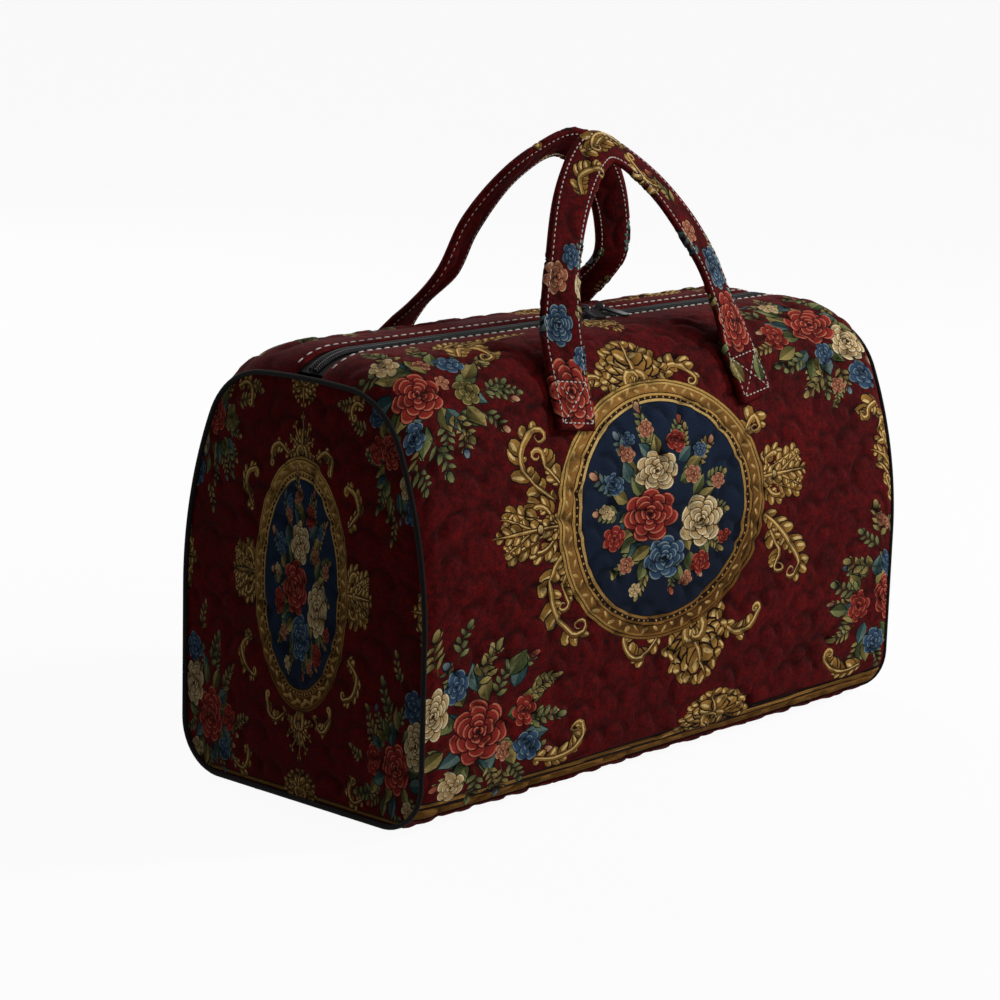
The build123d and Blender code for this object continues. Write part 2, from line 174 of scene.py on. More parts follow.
# Front wall: one cut of printed polyester quilted to thin wadding, from its turned
# edge beside the zip over the shoulder to the seam under the base, piped at the ends.
# Sizes from here on are in millimetres, and MM turns them to the frame's metres.
MM = 0.001
half_length, half_depth, high = 260.0, 115.0, 305.0
base_radius, side_radius, shoulder_radius = 37.0, 316.0, 57.0
side_turn, shoulder_turn = math.radians(23.2), math.radians(86.0)
level_half, fall_run, fall_depth = 215.0, 45.0, 28.0
cord_diameter = 5.0
wall_half = 256.6
hem_start, hem_radius, hem_depth = 12.6, 1.5, 7.0
tuck_run, tuck_depth = 9.0, 1.8

crown_radius = shoulder_radius + (
    half_depth - side_radius + (side_radius - shoulder_radius) * math.cos(side_turn)
) / math.cos(shoulder_turn)
side_centre = (
    half_depth - side_radius,
    high
    - (side_radius - shoulder_radius) * math.sin(side_turn)
    - (shoulder_radius - crown_radius) * math.sin(shoulder_turn)
    - crown_radius,
)
shoulder_centre = (
    side_centre[0] + (side_radius - shoulder_radius) * math.cos(side_turn),
    side_centre[1] + (side_radius - shoulder_radius) * math.sin(side_turn),
)
crown_centre = (0.0, high - crown_radius)
crown_end = crown_radius * (math.pi / 2 - shoulder_turn)
shoulder_end = crown_end + shoulder_radius * (shoulder_turn - side_turn)
side_end = shoulder_end + side_radius * side_turn
upright_end = side_end + side_centre[1] - base_radius
wall_end = upright_end + base_radius * math.pi / 2


def fall(x):
    """How far the ridge has come down at x."""
    run = min(1.0, max(0.0, abs(x) - level_half) / fall_run)
    return fall_depth * (1 - math.sqrt(1 - run * run))


def ease(value):
    """Nought to one, level at both ends, as a value goes from nought to one."""
    held = min(1.0, max(0.0, value))
    return held * held * (3 - 2 * held)


def section_point(x, s, lift):
    """Y and Z on the wall at x, a way s down from the ridge, lifted off the cloth."""
    drop = fall(x)
    if side_end < s < upright_end:
        share = (s - side_end) / (upright_end - side_end)
        return half_depth + lift, (side_centre[1] - drop) * (1 - share) + base_radius * share
    if s >= upright_end:
        turn = -(s - upright_end) / base_radius
        centre, radius, drop = (half_depth - base_radius, base_radius), base_radius, 0.0
    elif s < crown_end:
        centre, radius, turn = crown_centre, crown_radius, math.pi / 2 - s / crown_radius
    elif s < shoulder_end:
        turn = shoulder_turn - (s - crown_end) / shoulder_radius
        centre, radius = shoulder_centre, shoulder_radius
    else:
        centre, radius, turn = side_centre, side_radius, side_turn - (s - shoulder_end) / side_radius
    return (
        centre[0] + (radius + lift) * math.cos(turn),
        centre[1] - drop + (radius + lift) * math.sin(turn),
    )


# Quilting: rows of short curved stitch lines, which pull the wadding in and leave
# soft puffs between them. Each line is part of a circle with a chance radius, start,
# sweep in degrees and strength, and it fades out past its ends.
quilt_across, quilt_down = 27.0, 21.0
jitter_across, jitter_down = 0.22, 0.25
arc_radius, arc_start, arc_sweep, arc_strength = (11.0, 17.0), (20, 70), (55, 115), (0.55, 1.0)
arc_back = 0.7
line_depth, line_width = 2.3, 2.2
puff_height, puff_reach, puff_width = 1.2, 7.0, 5.0
end_fade, end_reach, side_reach = 5.0, 12.0, 18.0


def quilting(width, height, seed):
    """Stitch lines over a panel, as arcs kept by the square of cloth they lie in."""
    dice = random.Random(seed)
    rows = {}
    columns_out, rows_out = int(width / quilt_across) + 2, int(height / quilt_down) + 2
    for j in range(-rows_out, rows_out + 1):
        for i in range(-columns_out, columns_out + 1):
            x = (i + 0.5 * (j % 2) + dice.uniform(-jitter_across, jitter_across)) * quilt_across
            y = (j + dice.uniform(-jitter_down, jitter_down)) * quilt_down
            radius = dice.uniform(*arc_radius)
            first = math.radians(dice.uniform(*arc_start))
            sweep = math.radians(dice.uniform(*arc_sweep))
            rows[i, j] = (x, y, radius, first, sweep, dice.uniform(*arc_strength))
    return rows


def relief(x, y, rows):
    """Height of quilted cloth at a point, and how deep it lies in a stitch line."""
    height, crease = 0.0, 0.0
    row = round(y / quilt_down)
    for j in (row - 1, row, row + 1):
        column = round(x / quilt_across - 0.5 * (j % 2))
        for i in (column - 1, column, column + 1):
            line = rows.get((i, j))
            if line is None:
                continue
            cx, cy, radius, first, sweep, strength = line
            dx, dy = x - cx + radius * arc_back, y - cy + radius * arc_back
            turn = (math.atan2(dy, dx) - first) % (2 * math.pi)
            beyond = 0.0
            if turn > sweep:
                beyond = min(turn - sweep, 2 * math.pi - turn) * radius
            off = math.hypot(dx, dy) - radius
            if beyond > end_reach or abs(off) > side_reach:
                continue
            near = strength * math.exp(-((beyond / end_fade) ** 2))
            valley = near * math.exp(-((off / line_width) ** 2))
            height += near * puff_height * math.exp(-(((off + puff_reach) / puff_width) ** 2))
            height -= line_depth * valley
            crease = max(crease, valley)
    return height, crease


def smooth(points, steps):
    """A smooth path through a few given points."""
    path = []
    ends = [points[0], *points, points[-1]]
    for i in range(len(points) - 1):
        a, b, c, d = ends[i : i + 4]
        for k in range(steps):
            t = k / steps
            path.append(
                tuple(
                    0.5
                    * (
                        2 * q
                        + (r - p) * t
                        + (2 * p - 5 * q + 4 * r - w) * t * t
                        + (3 * q - p - 3 * r + w) * t**3
                    )
                    for p, q, r, w in zip(a, b, c, d)
                )
            )
    path.append(points[-1])
    return path


# The print is a set of marks, each an outline on the flat cloth with the colour it
# has at one point of it and the colour it runs to at another.
marks = []


def mark(outline, colour, to=None, start=None, end=None):
    """Prints a mark over all before it, in one colour or running to another."""
    marks.append((outline, linear(colour), linear(to or colour), start, end))


def laid(points, spot):
    """Turns and stretches a motif drawn about 0, 0 to its spot on the cloth."""
    x, y, across, rise, turn = spot
    c, s = math.cos(turn), math.sin(turn)
    return [(x + across * (c * p - s * q), y + rise * (s * p + c * q)) for p, q in points]


def oval(x, y, half_x, half_y, turn=0.0, points=8):
    """An oval about x, y, turned by turn."""
    c, s = math.cos(turn), math.sin(turn)
    rim = [2 * math.pi * i / points for i in range(points)]
    return [
        (
            x + half_x * math.cos(a) * c - half_y * math.sin(a) * s,
            y + half_x * math.cos(a) * s + half_y * math.sin(a) * c,
        )
        for a in rim
    ]


# Inks from deep to bright: the edge, the shaded part, the lit part and the lip. A
# flower head is a set of rings: how many petals, how far out and how long.
red_rose = ("#240607", "#5e1511", "#a4342b", "#cf7359")
cream_rose = ("#3a2412", "#a37c48", "#dfc08a", "#f6e6be")
blue_rose = ("#0c1420", "#1e3148", "#446080", "#8a9c9c")
pink_rose = ("#33100e", "#84392b", "#bd7a5a", "#e0b48a")
green_leaf = ("#10140c", "#29331e", "#5c653a", "#9a9862")
olive_leaf = ("#16130c", "#443d20", "#827540", "#bca566")
blue_leaf = ("#0c1416", "#1e3338", "#44605e", "#74877c")
gold = ("#1a0a06", "#6e481c", "#b98a42", "#efcd88")
full_head = ((7, 0.66, 0.34), (6, 0.5, 0.29), (5, 0.34, 0.23), (4, 0.2, 0.16), (3, 0.09, 0.1))
small_head = ((6, 0.62, 0.38), (5, 0.36, 0.26), (3, 0.14, 0.15))


def rose(spot, tones, rings=full_head, seed=1):
    """A full-blown rose: rings of petals, each dark at its root and pale at its lip."""
    dice = random.Random(seed)
    deep, dark, light, lip = tones
    mark(laid(oval(0, 0, 0.9, 0.9, points=16), spot), deep)
    for count, reach, size in rings:
        first = dice.uniform(0, 2 * math.pi)
        for i in range(count):
            turn = first + 2 * math.pi * i / count + dice.uniform(-0.1, 0.1)
            grow = size * dice.uniform(0.9, 1.1)
            wide = 1.2 * math.pi * reach / count
            c, s = math.cos(turn), math.sin(turn)
            ends = [((reach + out) * c, (reach + out) * s) for out in (-grow, grow)]
            root, tip = laid(ends, spot)
            mark(laid(oval(reach * c, reach * s, grow + 0.035, wide + 0.045, turn), spot), deep)
            mark(laid(oval(reach * c, reach * s, grow, wide, turn), spot), dark, light, root, tip)
            lip_rim = oval(reach * c, reach * s, grow * 0.98, wide * 0.96, turn, 16)
            inner_rim = oval(reach * c - 0.05 * c, reach * s - 0.05 * s, grow * 0.93, wide * 0.93, turn, 16)
            edge = [lip_rim[k] for k in (-3, -2, -1, 0, 1, 2)]
            edge += [inner_rim[k] for k in (2, 1, 0, -1, -2, -3)]
            mark(laid(edge, spot), lip)
    mark(laid(oval(0, 0, 0.09, 0.09, points=8), spot), deep)


def leaf(spot, tones):
    """A leaf from its root at 0, 0 to its tip at 1, 0: a pale half and a dark one."""
    deep, dark, light, lip = tones
    edge = [(-0.04, 0), (0.2, 0.27), (0.5, 0.35), (0.8, 0.2), (1.06, 0)]
    edge += [(0.8, -0.2), (0.5, -0.35), (0.2, -0.27)]
    upper = [(0, 0), (0.18, 0.2), (0.42, 0.29), (0.68, 0.22), (1, 0)]
    lower = [(x, -y) for x, y in reversed(upper)]
    root, tip = laid([(0, 0), (1, 0)], spot)
    mark(laid(edge, spot), deep)
    mark(laid(upper, spot), light, lip, root, tip)
    mark(laid(lower, spot), dark, light, root, tip)


def sprig(spot, tones, count=7, bud=None):
    """A twig with small leaves to left and right, and a bud at its tip."""
    deep, dark, light, lip = tones
    x, y, across, rise, turn = spot
    shape = [(0, 0), (0.3, 0.2), (0.65, 0.22), (1, 0), (0.65, -0.2), (0.3, -0.2)]
    stem = [(t, 0.09 * math.sin(3 * t)) for t in (0, 0.33, 0.66, 0.95)]
    mark(laid([(p, q + 0.014) for p, q in stem] + [(p, q - 0.014) for p, q in reversed(stem)], spot), dark)
    for i in range(count):
        t = 0.2 + 0.75 * i / count
        size = 0.34 * (1 - 0.45 * t)
        side = 1 if i % 2 else -1
        root = laid([(t, 0.09 * math.sin(3 * t))], spot)[0]
        small = (*root, across * size, rise * size, turn + side * 0.85)
        mark(laid([(1.12 * p - 0.04, 1.5 * q) for p, q in shape], small), deep)
        start, end = laid([(0, 0), (1, 0)], small)
        mark(laid(shape, small), dark if i % 3 else light, lip, start, end)
    tip = laid([(1.0, 0.03)], spot)[0]
    small = (*tip, across * 0.14, rise * 0.14, turn)
    deep, dark, light, lip = bud or tones
    mark(laid(oval(0, 0, 1.2, 0.85, points=8), small), deep)
    mark(laid(oval(0.1, 0, 0.95, 0.6, points=8), small), dark, lip, *laid([(-1, 0), (1, 0)], small))


def ribbon(path, halves):
    """Outline of a band along a path, with its half-width at each point."""
    left, right = [], []
    for i, (x, y) in enumerate(path):
        x0, y0 = path[max(0, i - 1)]
        x1, y1 = path[min(len(path) - 1, i + 1)]
        along = math.hypot(x1 - x0, y1 - y0) or 1.0
        nx, ny = -(y1 - y0) / along, (x1 - x0) / along
        left.append((x + nx * halves[i], y + ny * halves[i]))
        right.append((x - nx * halves[i], y - ny * halves[i]))
    return left + right[::-1]


def gilt(path, width, swell, tones=gold):
    """One stroke of gilding with a dark edge, a lit body and a bright ridge."""
    deep, dark, light, lip = tones
    last = len(path) - 1
    halves = [max(0.12, width / 2 * swell(i / last)) for i in range(last + 1)]
    low, top = min(y for _, y in path) - width / 2, max(y for _, y in path) + width / 2
    middle = path[last // 2][0]
    mark(ribbon(path, [h + 0.55 for h in halves]), deep)
    mark(ribbon(path, halves), dark, light, (middle + width, low), (middle - width, top))
    ridge = [(x - 0.22 * h, y + 0.3 * h) for (x, y), h in zip(path, halves)]
    mark(ribbon(ridge[:-1], [0.3 * h for h in halves[:-1]]), lip)


def taper(t):
    """Share of a stroke's full width: thin at its root, full, then down to a point."""
    if t < 0.8:
        return 0.35 + 0.65 * math.sin(math.pi * min(1.0, t * 1.1 + 0.1))
    return max(0.1, 2.2 * (1 - t))


def acanthus(path, wide, pairs=4, sides=(1, -1), ratio=1.0):
    """An acanthus leaf along a path: rounded lobes either side of a bright rib."""
    deep, dark, light, lip = gold
    last = len(path) - 1
    for k in range(pairs):
        t = 0.08 + 0.84 * k / max(1, pairs - 1)
        i = min(last - 1, int(t * last))
        (x0, y0), (x1, y1) = path[i], path[i + 1]
        heading = math.atan2(y1 - y0, (x1 - x0) / ratio)
        size = wide * math.sin(math.pi * (0.2 + 0.66 * t))
        for side in sides:
            turn = heading + side * 0.8
            centre = (x0 + size * 0.4 * math.cos(turn) * ratio, y0 + size * 0.4 * math.sin(turn))
            spot = (*centre, size * 0.5 * ratio, size * 0.5, turn)
            root, tip = laid([(-0.9, 0), (0.9, 0)], spot)
            mark(laid(oval(0, 0, 1.16, 0.82, points=9), spot), deep)
            mark(laid(oval(0, 0, 1.0, 0.64, points=9), spot), dark, light, root, tip)
            mark(laid(oval(0.25, 0.2, 0.55, 0.2, points=6), spot), lip)
    gilt(path, wide * 0.26, taper)


def scroll(points, width, lobes=4, side=1, curl=0.0, ratio=1.0):
    """An acanthus scroll: a stem with curled leaf lobes down one side and, where curl
    says so, a volute of that size at its end."""
    path = smooth(points, 3)
    if curl:
        (x0, y0), (x1, y1) = path[-2:]
        heading = math.atan2(y1 - y0, (x1 - x0) / ratio)
        hand = 1 if curl > 0 else -1
        x, y = x1, y1
        for k in range(9):
            step = abs(curl) * 0.62 * (1 - k / 12)
            heading += hand * 0.72
            x += step * math.cos(heading) * ratio
            y += step * math.sin(heading)
            path.append((x, y))
    spine = path[: 3 * (len(points) - 1) + 1]
    acanthus(spine, width * 3.1, lobes + 2, (side,), ratio)
    acanthus(spine[: len(spine) * 2 // 3], width * 2.2, lobes, (-side,), ratio)
    gilt(path, width, taper)


def plume(spot, count=7, spread=1.25, width=0.2):
    """A palmette: a fan of curled leaves from a knot with a volute on each side."""
    order = sorted(range(count), key=lambda i: -abs(i - (count - 1) / 2))
    for i in order:
        lean = spread * (2 * i / (count - 1) - 1)
        reach = 1.0 - 0.26 * abs(lean) / spread
        heading, x, y = math.pi / 2 - lean * 0.45, 0.0, 0.0
        path = [(0.0, 0.0)]
        for j in range(6):
            heading -= lean * 0.2 * (0.5 + j * 0.32)
            x += reach / 6 * math.cos(heading)
            y += reach / 6 * math.sin(heading)
            path.append((x, y))
        acanthus(laid(path, spot), width * 2.1 * min(spot[2], spot[3]), 4, (1, -1), spot[2] / spot[3])
    for side in (1, -1):
        heading, x, y = math.pi / 2 - side * 1.3, 0.0, -0.05
        path = [(x, y)]
        for j in range(9):
            x += 0.135 * (1 - j / 13) * math.cos(heading)
            y += 0.135 * (1 - j / 13) * math.sin(heading)
            heading += side * 0.62
            path.append((x, y))
        gilt(laid(path, spot), width * 0.75 * min(spot[2], spot[3]), taper)
    mark(laid(oval(0, 0.02, 0.13, 0.13), spot), gold[0])
    mark(laid(oval(0, 0.03, 0.09, 0.09), spot), gold[2])


def carved_frame(spot, rim_x, rim_y):
    """The oval gilt frame round the medallion: mouldings, beads and a leaf band."""
    beads, leaves = 88, 64
    mouldings = (
        (1.03, "#1f0d07", "#1f0d07"), (1.0, "#7a5120", "#d8ab5c"), (0.90, "#2a1409", "#3a1d0d"),
        (0.86, "#8a5e28", "#e2ba6c"), (0.78, "#5f3c18", "#a8773a"), (0.44, "#2a1409", "#2a1409"),
        (0.40, "#8a5e28", "#d8ab5c"), (0.30, "#1c0c07", "#2a130a"), (0.16, "#8f642c", "#e6c078"),
        (0.05, "#120b0c", "#120b0c"),
    )
    x, y, across, rise, turn = spot

    def ring(share):
        return (x, y, across + rim_x * share, rise + rim_y * share, turn)

    for share, dark, light in mouldings:
        points = oval(0, 0, 1, 1, points=96)
        mark(laid(points, ring(share)), dark, light, *laid([(0.4, -0.9), (-0.4, 0.9)], ring(share)))
    for i in range(beads):
        turn_i = 2 * math.pi * i / beads
        bead = laid([(math.cos(turn_i), math.sin(turn_i))], ring(0.235))[0]
        mark(oval(*bead, 0.95, 0.8, points=6), "#b98a47", "#e6c078", bead, (bead[0], bead[1] + 0.8))
    for i in range(leaves):
        turn_i = 2 * math.pi * i / leaves
        side = 0.12 if i % 2 else -0.12
        spot_i = laid([(math.cos(turn_i), math.sin(turn_i))], ring(0.61 + side * 0.4))[0]
        lean = math.atan2(math.cos(turn_i) * rise, -math.sin(turn_i) * across) + side * 5
        body = oval(*spot_i, 3.6, 1.25, lean, 8)
        mark(body, "#8a5e28", "#ecc77c", (spot_i[0] + 1, spot_i[1] - 2), (spot_i[0] - 1, spot_i[1] + 2))


def navy_field(spot, reach):
    """The plain navy oval inside the frame, a little paler towards its top."""
    x, y = spot[:2]
    mark(laid(oval(0, 0, 1, 1, points=96), spot), "#0f1726", "#18253a", (x, y - reach), (x, y + reach))


def bouquet(x, y, kx, ky):
    """The bouquet in the medallion, on its navy ground."""
    twigs = (
        (-8, 52, 34, 100, green_leaf, pink_rose), (-30, 42, 30, 125, blue_leaf, blue_rose),
        (18, 46, 28, 62, green_leaf, red_rose), (42, 30, 30, 38, olive_leaf, pink_rose),
        (50, 14, 26, 14, green_leaf, olive_leaf), (52, -6, 24, -12, green_leaf, olive_leaf),
        (44, -30, 26, -32, olive_leaf, olive_leaf), (-48, 24, 34, 155, blue_leaf, pink_rose),
        (-54, 6, 28, 175, green_leaf, pink_rose), (-50, -12, 24, 195, olive_leaf, olive_leaf),
        (-44, -30, 26, 215, green_leaf, olive_leaf), (-26, -44, 26, 245, olive_leaf, olive_leaf),
        (4, -46, 24, 275, green_leaf, red_rose), (28, -42, 24, 305, olive_leaf, pink_rose),
        (-16, 50, 24, 75, green_leaf, pink_rose), (34, 40, 24, 80, olive_leaf, olive_leaf),
    )
    for tx, ty, reach, turn, tones, bud in twigs:
        root = (x + tx * kx * 0.84, y + ty * ky * 0.78)
        sprig((*root, reach * kx * 1.0, reach * ky * 0.95, math.radians(turn)), tones, 9, bud)
    for i in range(38):
        turn = 2 * math.pi * i / 38 + 0.1 * math.sin(5 * i)
        out = 32 + 8 * math.sin(3 * i)
        tones = (green_leaf, olive_leaf, green_leaf, blue_leaf)[i % 4]
        root = (x + kx * out * math.cos(turn) * 1.12, y + ky * (out - 2) * math.sin(turn) - 2 * ky)
        leaf((*root, 20 * kx, 17 * ky, turn + 0.6 * math.sin(7 * i)), tones)
    for tx, ty, size, tones, seed in (
        (-52, 24, 9.5, blue_rose, 31), (-34, 43, 8, pink_rose, 32), (-10, 57, 7.5, pink_rose, 33),
        (20, 45, 9.5, red_rose, 34), (33, 20, 8, pink_rose, 35), (-56, -13, 11, red_rose, 36),
        (38, -43, 10, red_rose, 37), (-44, -33, 7.5, pink_rose, 38), (60, 12, 7, pink_rose, 39),
        (22, -52, 7, pink_rose, 46), (-30, 52, 6.5, blue_rose, 47), (44, 36, 6.5, blue_rose, 48),
        (-62, 6, 6.5, cream_rose, 49), (64, -28, 6.5, red_rose, 50), (-34, -52, 6, cream_rose, 51),
    ):
        rose((x + tx * kx, y + ty * ky, size * kx * 1.1, size * ky * 0.85, 0.3), tones, small_head, seed)
    rose((x - 2 * kx, y - 34 * ky, 23 * kx, 15.5 * ky, 0.2), blue_rose, seed=5)
    rose((x - 5 * kx, y + 27 * ky, 24 * kx, 14.5 * ky, 0.1), cream_rose, seed=2)
    rose((x + 39 * kx, y - 13 * ky, 25 * kx, 18.5 * ky, 0.4), cream_rose, seed=4)
    rose((x - 16.5 * kx, y - 2 * ky, 30 * kx, 18.5 * ky, 0.0), red_rose, seed=3)


def corner_leaves(x, y, kx, ky, reach, seed):
    """The ground of leaves and twigs behind a group of corner flowers."""
    dice = random.Random(seed)
    buds = (pink_rose, None, red_rose, None, blue_rose)
    for i in range(11):
        turn = 2 * math.pi * i / 11 + dice.uniform(-0.2, 0.2)
        out = reach * dice.uniform(0.6, 0.85)
        root = (x + kx * out * math.cos(turn), y + ky * out * math.sin(turn))
        twig = (*root, reach * 0.7 * kx, reach * 0.62 * ky, turn + dice.uniform(-0.4, 0.4))
        sprig(twig, (green_leaf, olive_leaf)[i % 2], 7, buds[i % 5])
    for i in range(18):
        turn = 2 * math.pi * i / 18 + dice.uniform(-0.15, 0.15)
        out = reach * dice.uniform(0.35, 0.85)
        tones = (green_leaf, olive_leaf, blue_leaf)[i % 3]
        root = (x + kx * out * math.cos(turn), y + ky * out * math.sin(turn))
        leaf((*root, reach * 0.52 * kx, reach * 0.5 * ky, turn + dice.uniform(-0.5, 0.5)), tones)


# The front's own layout, X and the way down from the ridge: flower heads with their
# half-sizes, twigs with their length and heading, and gilt scrolls by their points.
stretch = 1.38
medallion = (-17.5, -190.0)
medallion_half = (87.5, 74.0)
frame_rim = (25.0, 16.5)
front_groups = ((-215, -82, 40), (-200, -308, 44), (190, -85, 40), (238, -300, 38))
front_heads = (
    (-232, 82, 21, 17.5, red_rose, full_head), (-235, 50, 11, 9.5, cream_rose, small_head),
    (-187, 62, 13, 10, blue_rose, small_head), (-190, 88, 12, 10, olive_leaf, small_head),
    (-246, 104, 9, 9, blue_rose, small_head), (-210, 60, 7, 6, pink_rose, small_head),
    (-206, 78, 6, 6, pink_rose, small_head),
    (-229, 277, 13, 12, blue_rose, small_head), (-250, 289, 15, 19, cream_rose, full_head),
    (-162, 306, 12.5, 11, red_rose, small_head), (-158, 331, 14, 11, blue_rose, small_head),
    (-232, 345, 13, 10.5, cream_rose, small_head), (-207, 312, 28, 22, red_rose, full_head),
    (-182, 330, 8, 7, pink_rose, small_head),
    (232, 120, 18, 11, blue_rose, small_head), (192, 102, 11, 9, blue_rose, small_head),
    (145, 82, 13, 12, red_rose, small_head), (225, 95, 22, 15, cream_rose, full_head),
    (192, 77, 28, 17, red_rose, full_head), (199, 127, 8, 6, pink_rose, small_head),
    (170, 52, 10, 8, cream_rose, small_head),
    (244, 228, 8, 6, pink_rose, small_head), (253, 260, 10, 11, blue_rose, small_head),
    (217, 298, 14, 13, red_rose, small_head), (239, 328, 15, 11, blue_rose, small_head),
    (254, 290, 17, 20, red_rose, full_head),
)
front_twigs = (
    (-178, 92, 26, 20, green_leaf), (-215, 98, 30, -60, olive_leaf), (-236, 112, 34, -75, green_leaf),
    (-200, 48, 26, 60, olive_leaf), (-222, 42, 22, 100, green_leaf), (-168, 66, 26, 10, olive_leaf),
    (-252, 120, 24, -80, green_leaf), (-166, 88, 22, -20, green_leaf),
    (-246, 262, 36, 92, olive_leaf), (-228, 262, 30, 70, green_leaf), (-212, 285, 40, 55, olive_leaf),
    (-190, 296, 30, 70, green_leaf), (-162, 300, 30, 25, olive_leaf), (-160, 316, 32, 0, green_leaf),
    (-200, 334, 26, -70, olive_leaf), (-180, 338, 26, -50, green_leaf), (-220, 334, 20, -110, green_leaf),
    (140, 88, 24, 190, olive_leaf), (172, 98, 30, 205, green_leaf), (190, 112, 34, 215, olive_leaf),
    (205, 122, 24, 240, green_leaf), (150, 66, 30, 120, green_leaf), (176, 58, 30, 80, olive_leaf),
    (205, 56, 26, 70, green_leaf), (196, 128, 16, 260, olive_leaf),
    (246, 246, 34, 110, olive_leaf), (244, 252, 30, 150, green_leaf), (240, 268, 38, 165, olive_leaf),
    (222, 286, 36, 160, green_leaf), (214, 312, 28, 195, olive_leaf), (250, 232, 20, 60, green_leaf),
)
front_scrolls = (
    # round the frame at the upper left, lower left, lower right and upper right
    (((-131, 168), (-148, 156), (-158, 140), (-150, 126), (-138, 120)), 4.6, 5, 1, -6.0),
    (((-124, 158), (-134, 146), (-136, 136)), 4.0, 3, -1, 5.0),
    (((-128, 206), (-140, 222), (-134, 244), (-116, 262), (-104, 262)), 4.6, 6, -1, 6.0),
    (((-118, 212), (-126, 226), (-120, 240)), 3.8, 3, 1, -4.6),
    (((96, 210), (112, 222), (128, 238), (138, 252), (132, 260)), 4.6, 6, 1, -5.5),
    (((100, 222), (112, 238), (108, 250)), 3.8, 3, -1, 4.6),
    (((78, 158), (84, 144), (94, 138), (98, 146)), 4.0, 3, 1, -4.0),
    # beside the palmettes over and under the frame
    (((-52, 100), (-64, 92), (-78, 92), (-84, 100)), 4.0, 3, 1, 4.0),
    (((2, 100), (14, 92), (28, 94), (38, 104)), 4.2, 4, 1, -4.4),
    (((-24, 280), (-40, 292), (-54, 288), (-62, 276)), 4.2, 4, -1, -4.4),
    (((52, 284), (66, 292), (82, 290), (92, 278)), 4.2, 4, 1, 4.4),
    # the long leaves along the zip and above the border
    (((-170, 56), (-158, 44), (-146, 50), (-142, 60)), 4.4, 5, 1, -5.0),
    (((-176, 42), (-160, 36), (-146, 34)), 3.4, 4, 1, 0.0),
    (((-146, 36), (-122, 36), (-100, 34), (-76, 32)), 2.6, 7, 1, 0.0),
    (((-150, 342), (-130, 346), (-112, 344), (-100, 336), (-102, 326)), 4.2, 5, 1, 5.0),
    (((222, 344), (200, 346), (184, 340), (176, 330)), 4.2, 5, -1, -5.0),
    (((244, 138), (232, 146), (230, 152)), 4.6, 3, -1, -4.0),
    (((258, 140), (246, 152), (240, 160)), 4.2, 3, 1, 0.0),
)


def side_tip(x, y, kx, ky, hand):
    """The pointed crest on the left or right of the frame, with its four scrolls."""
    for rise in (1, -1):
        for reach, size, curl in ((16, 13, 4.6), (36, 10, 3.8)):
            points = [(4, 2), (reach - 6, size), (reach + 4, size + 3), (reach + 9, size - 4)]
            points = [(x + hand * kx * p, y + rise * ky * q) for p, q in points]
            scroll(points, 3.8 * ky, 4, hand * rise, -hand * rise * curl * ky, kx / ky)
    for rise in (1, -1):
        points = ((20, 0), (28, 3), (36, 7), (44, 11), (50, 12))
        points = [(x + hand * kx * p, y + rise * ky * q) for p, q in points]
        acanthus(points, 8.5 * ky, 4, (1, -1), kx / ky)
    points = [(x + hand * kx * p, y) for p in (-2, 8, 18, 26, 34, 42, 50, 58)]
    acanthus(points, 11.0 * ky, 6, (1, -1), kx / ky)
    mark(oval(x + hand * kx * 17, y, 3.4 * kx, 4.4 * ky, points=10), gold[0])
    mark(oval(x + hand * kx * 17, y, 2.4 * kx, 3.2 * ky, points=10), gold[1], gold[3], (x, y - 3), (x, y + 3))


def side_ornament(x, y, kx, ky, hand):
    """Half a crest, cut by the seam at the end of the panel."""
    for rise in (1, -1):
        for reach, size, curl in ((0, 15, 6.0), (-6, 26, 4.0)):
            points = [(-26, 3), (reach - 20, size * 0.6), (reach - 8, size), (reach + 2, size - 6)]
            points = [(x - hand * kx * p, y + rise * ky * q) for p, q in points]
            scroll(points, 4.4 * ky, 4, -hand * rise, hand * rise * curl * ky, kx / ky)
    acanthus([(x - hand * kx * p, y) for p in (-26, -18, -10, -2, 6, 14)], 12.0 * ky, 5, (1, -1), kx / ky)


def print_front():
    """The front's whole design, from the leaves behind to the bouquet on top."""
    x, y = medallion
    for gx, gy, reach in front_groups:
        corner_leaves(gx, gy, 1.15, 0.9, reach, gx)
    for tx, ty, reach, turn, tones in front_twigs:
        sprig((tx, -ty, reach * 1.1, reach * 0.85, math.radians(turn)), tones, 7)
    for points, width, lobes, side, curl in front_scrolls:
        scroll([(px, -py) for px, py in points], width, lobes, side, curl, stretch)
    for i, (hx, hy, across, rise, tones, rings) in enumerate(front_heads):
        rose((hx, -hy, across, rise, 0.3 * i), tones, rings, 40 + i)
    side_ornament(243, -178, 1.15, 0.9, 1)
    side_ornament(-278, -178, 1.15, 0.9, -1)
    side_tip(x - medallion_half[0] - frame_rim[0] + 2, y + 4, 1.15, 0.95, -1)
    side_tip(x + medallion_half[0] + frame_rim[0] - 4, y + 8, 1.0, 0.95, 1)
    plume((-26, -106, 50, 42, -0.15), 9)
    plume((14, -274, 50, 50, math.pi + 0.36), 9)
    plume((46, -357, 58, 27, 0.06), 9)
    plume((0, -22, 26, 32, math.pi - 0.12), 7, 1.15)
    carved_frame((x, y, *medallion_half, -0.10), *frame_rim)
    navy_field((x, y, *medallion_half, -0.10), medallion_half[1])
    bouquet(x, y, 1.0, 1.0)


border_lines = (
    (352.5, 354.0, "#1a0b07"), (354.0, 357.0, "#b98744"), (357.0, 359.5, "#1a0b07"),
    (359.5, 369.0, "#8a5f2b"), (369.0, 371.0, "#241009"),
)


def oblong(left, right, low, top):
    """The four corners of a straight cut."""
    return [(left, low), (right, low), (right, top), (left, top)]


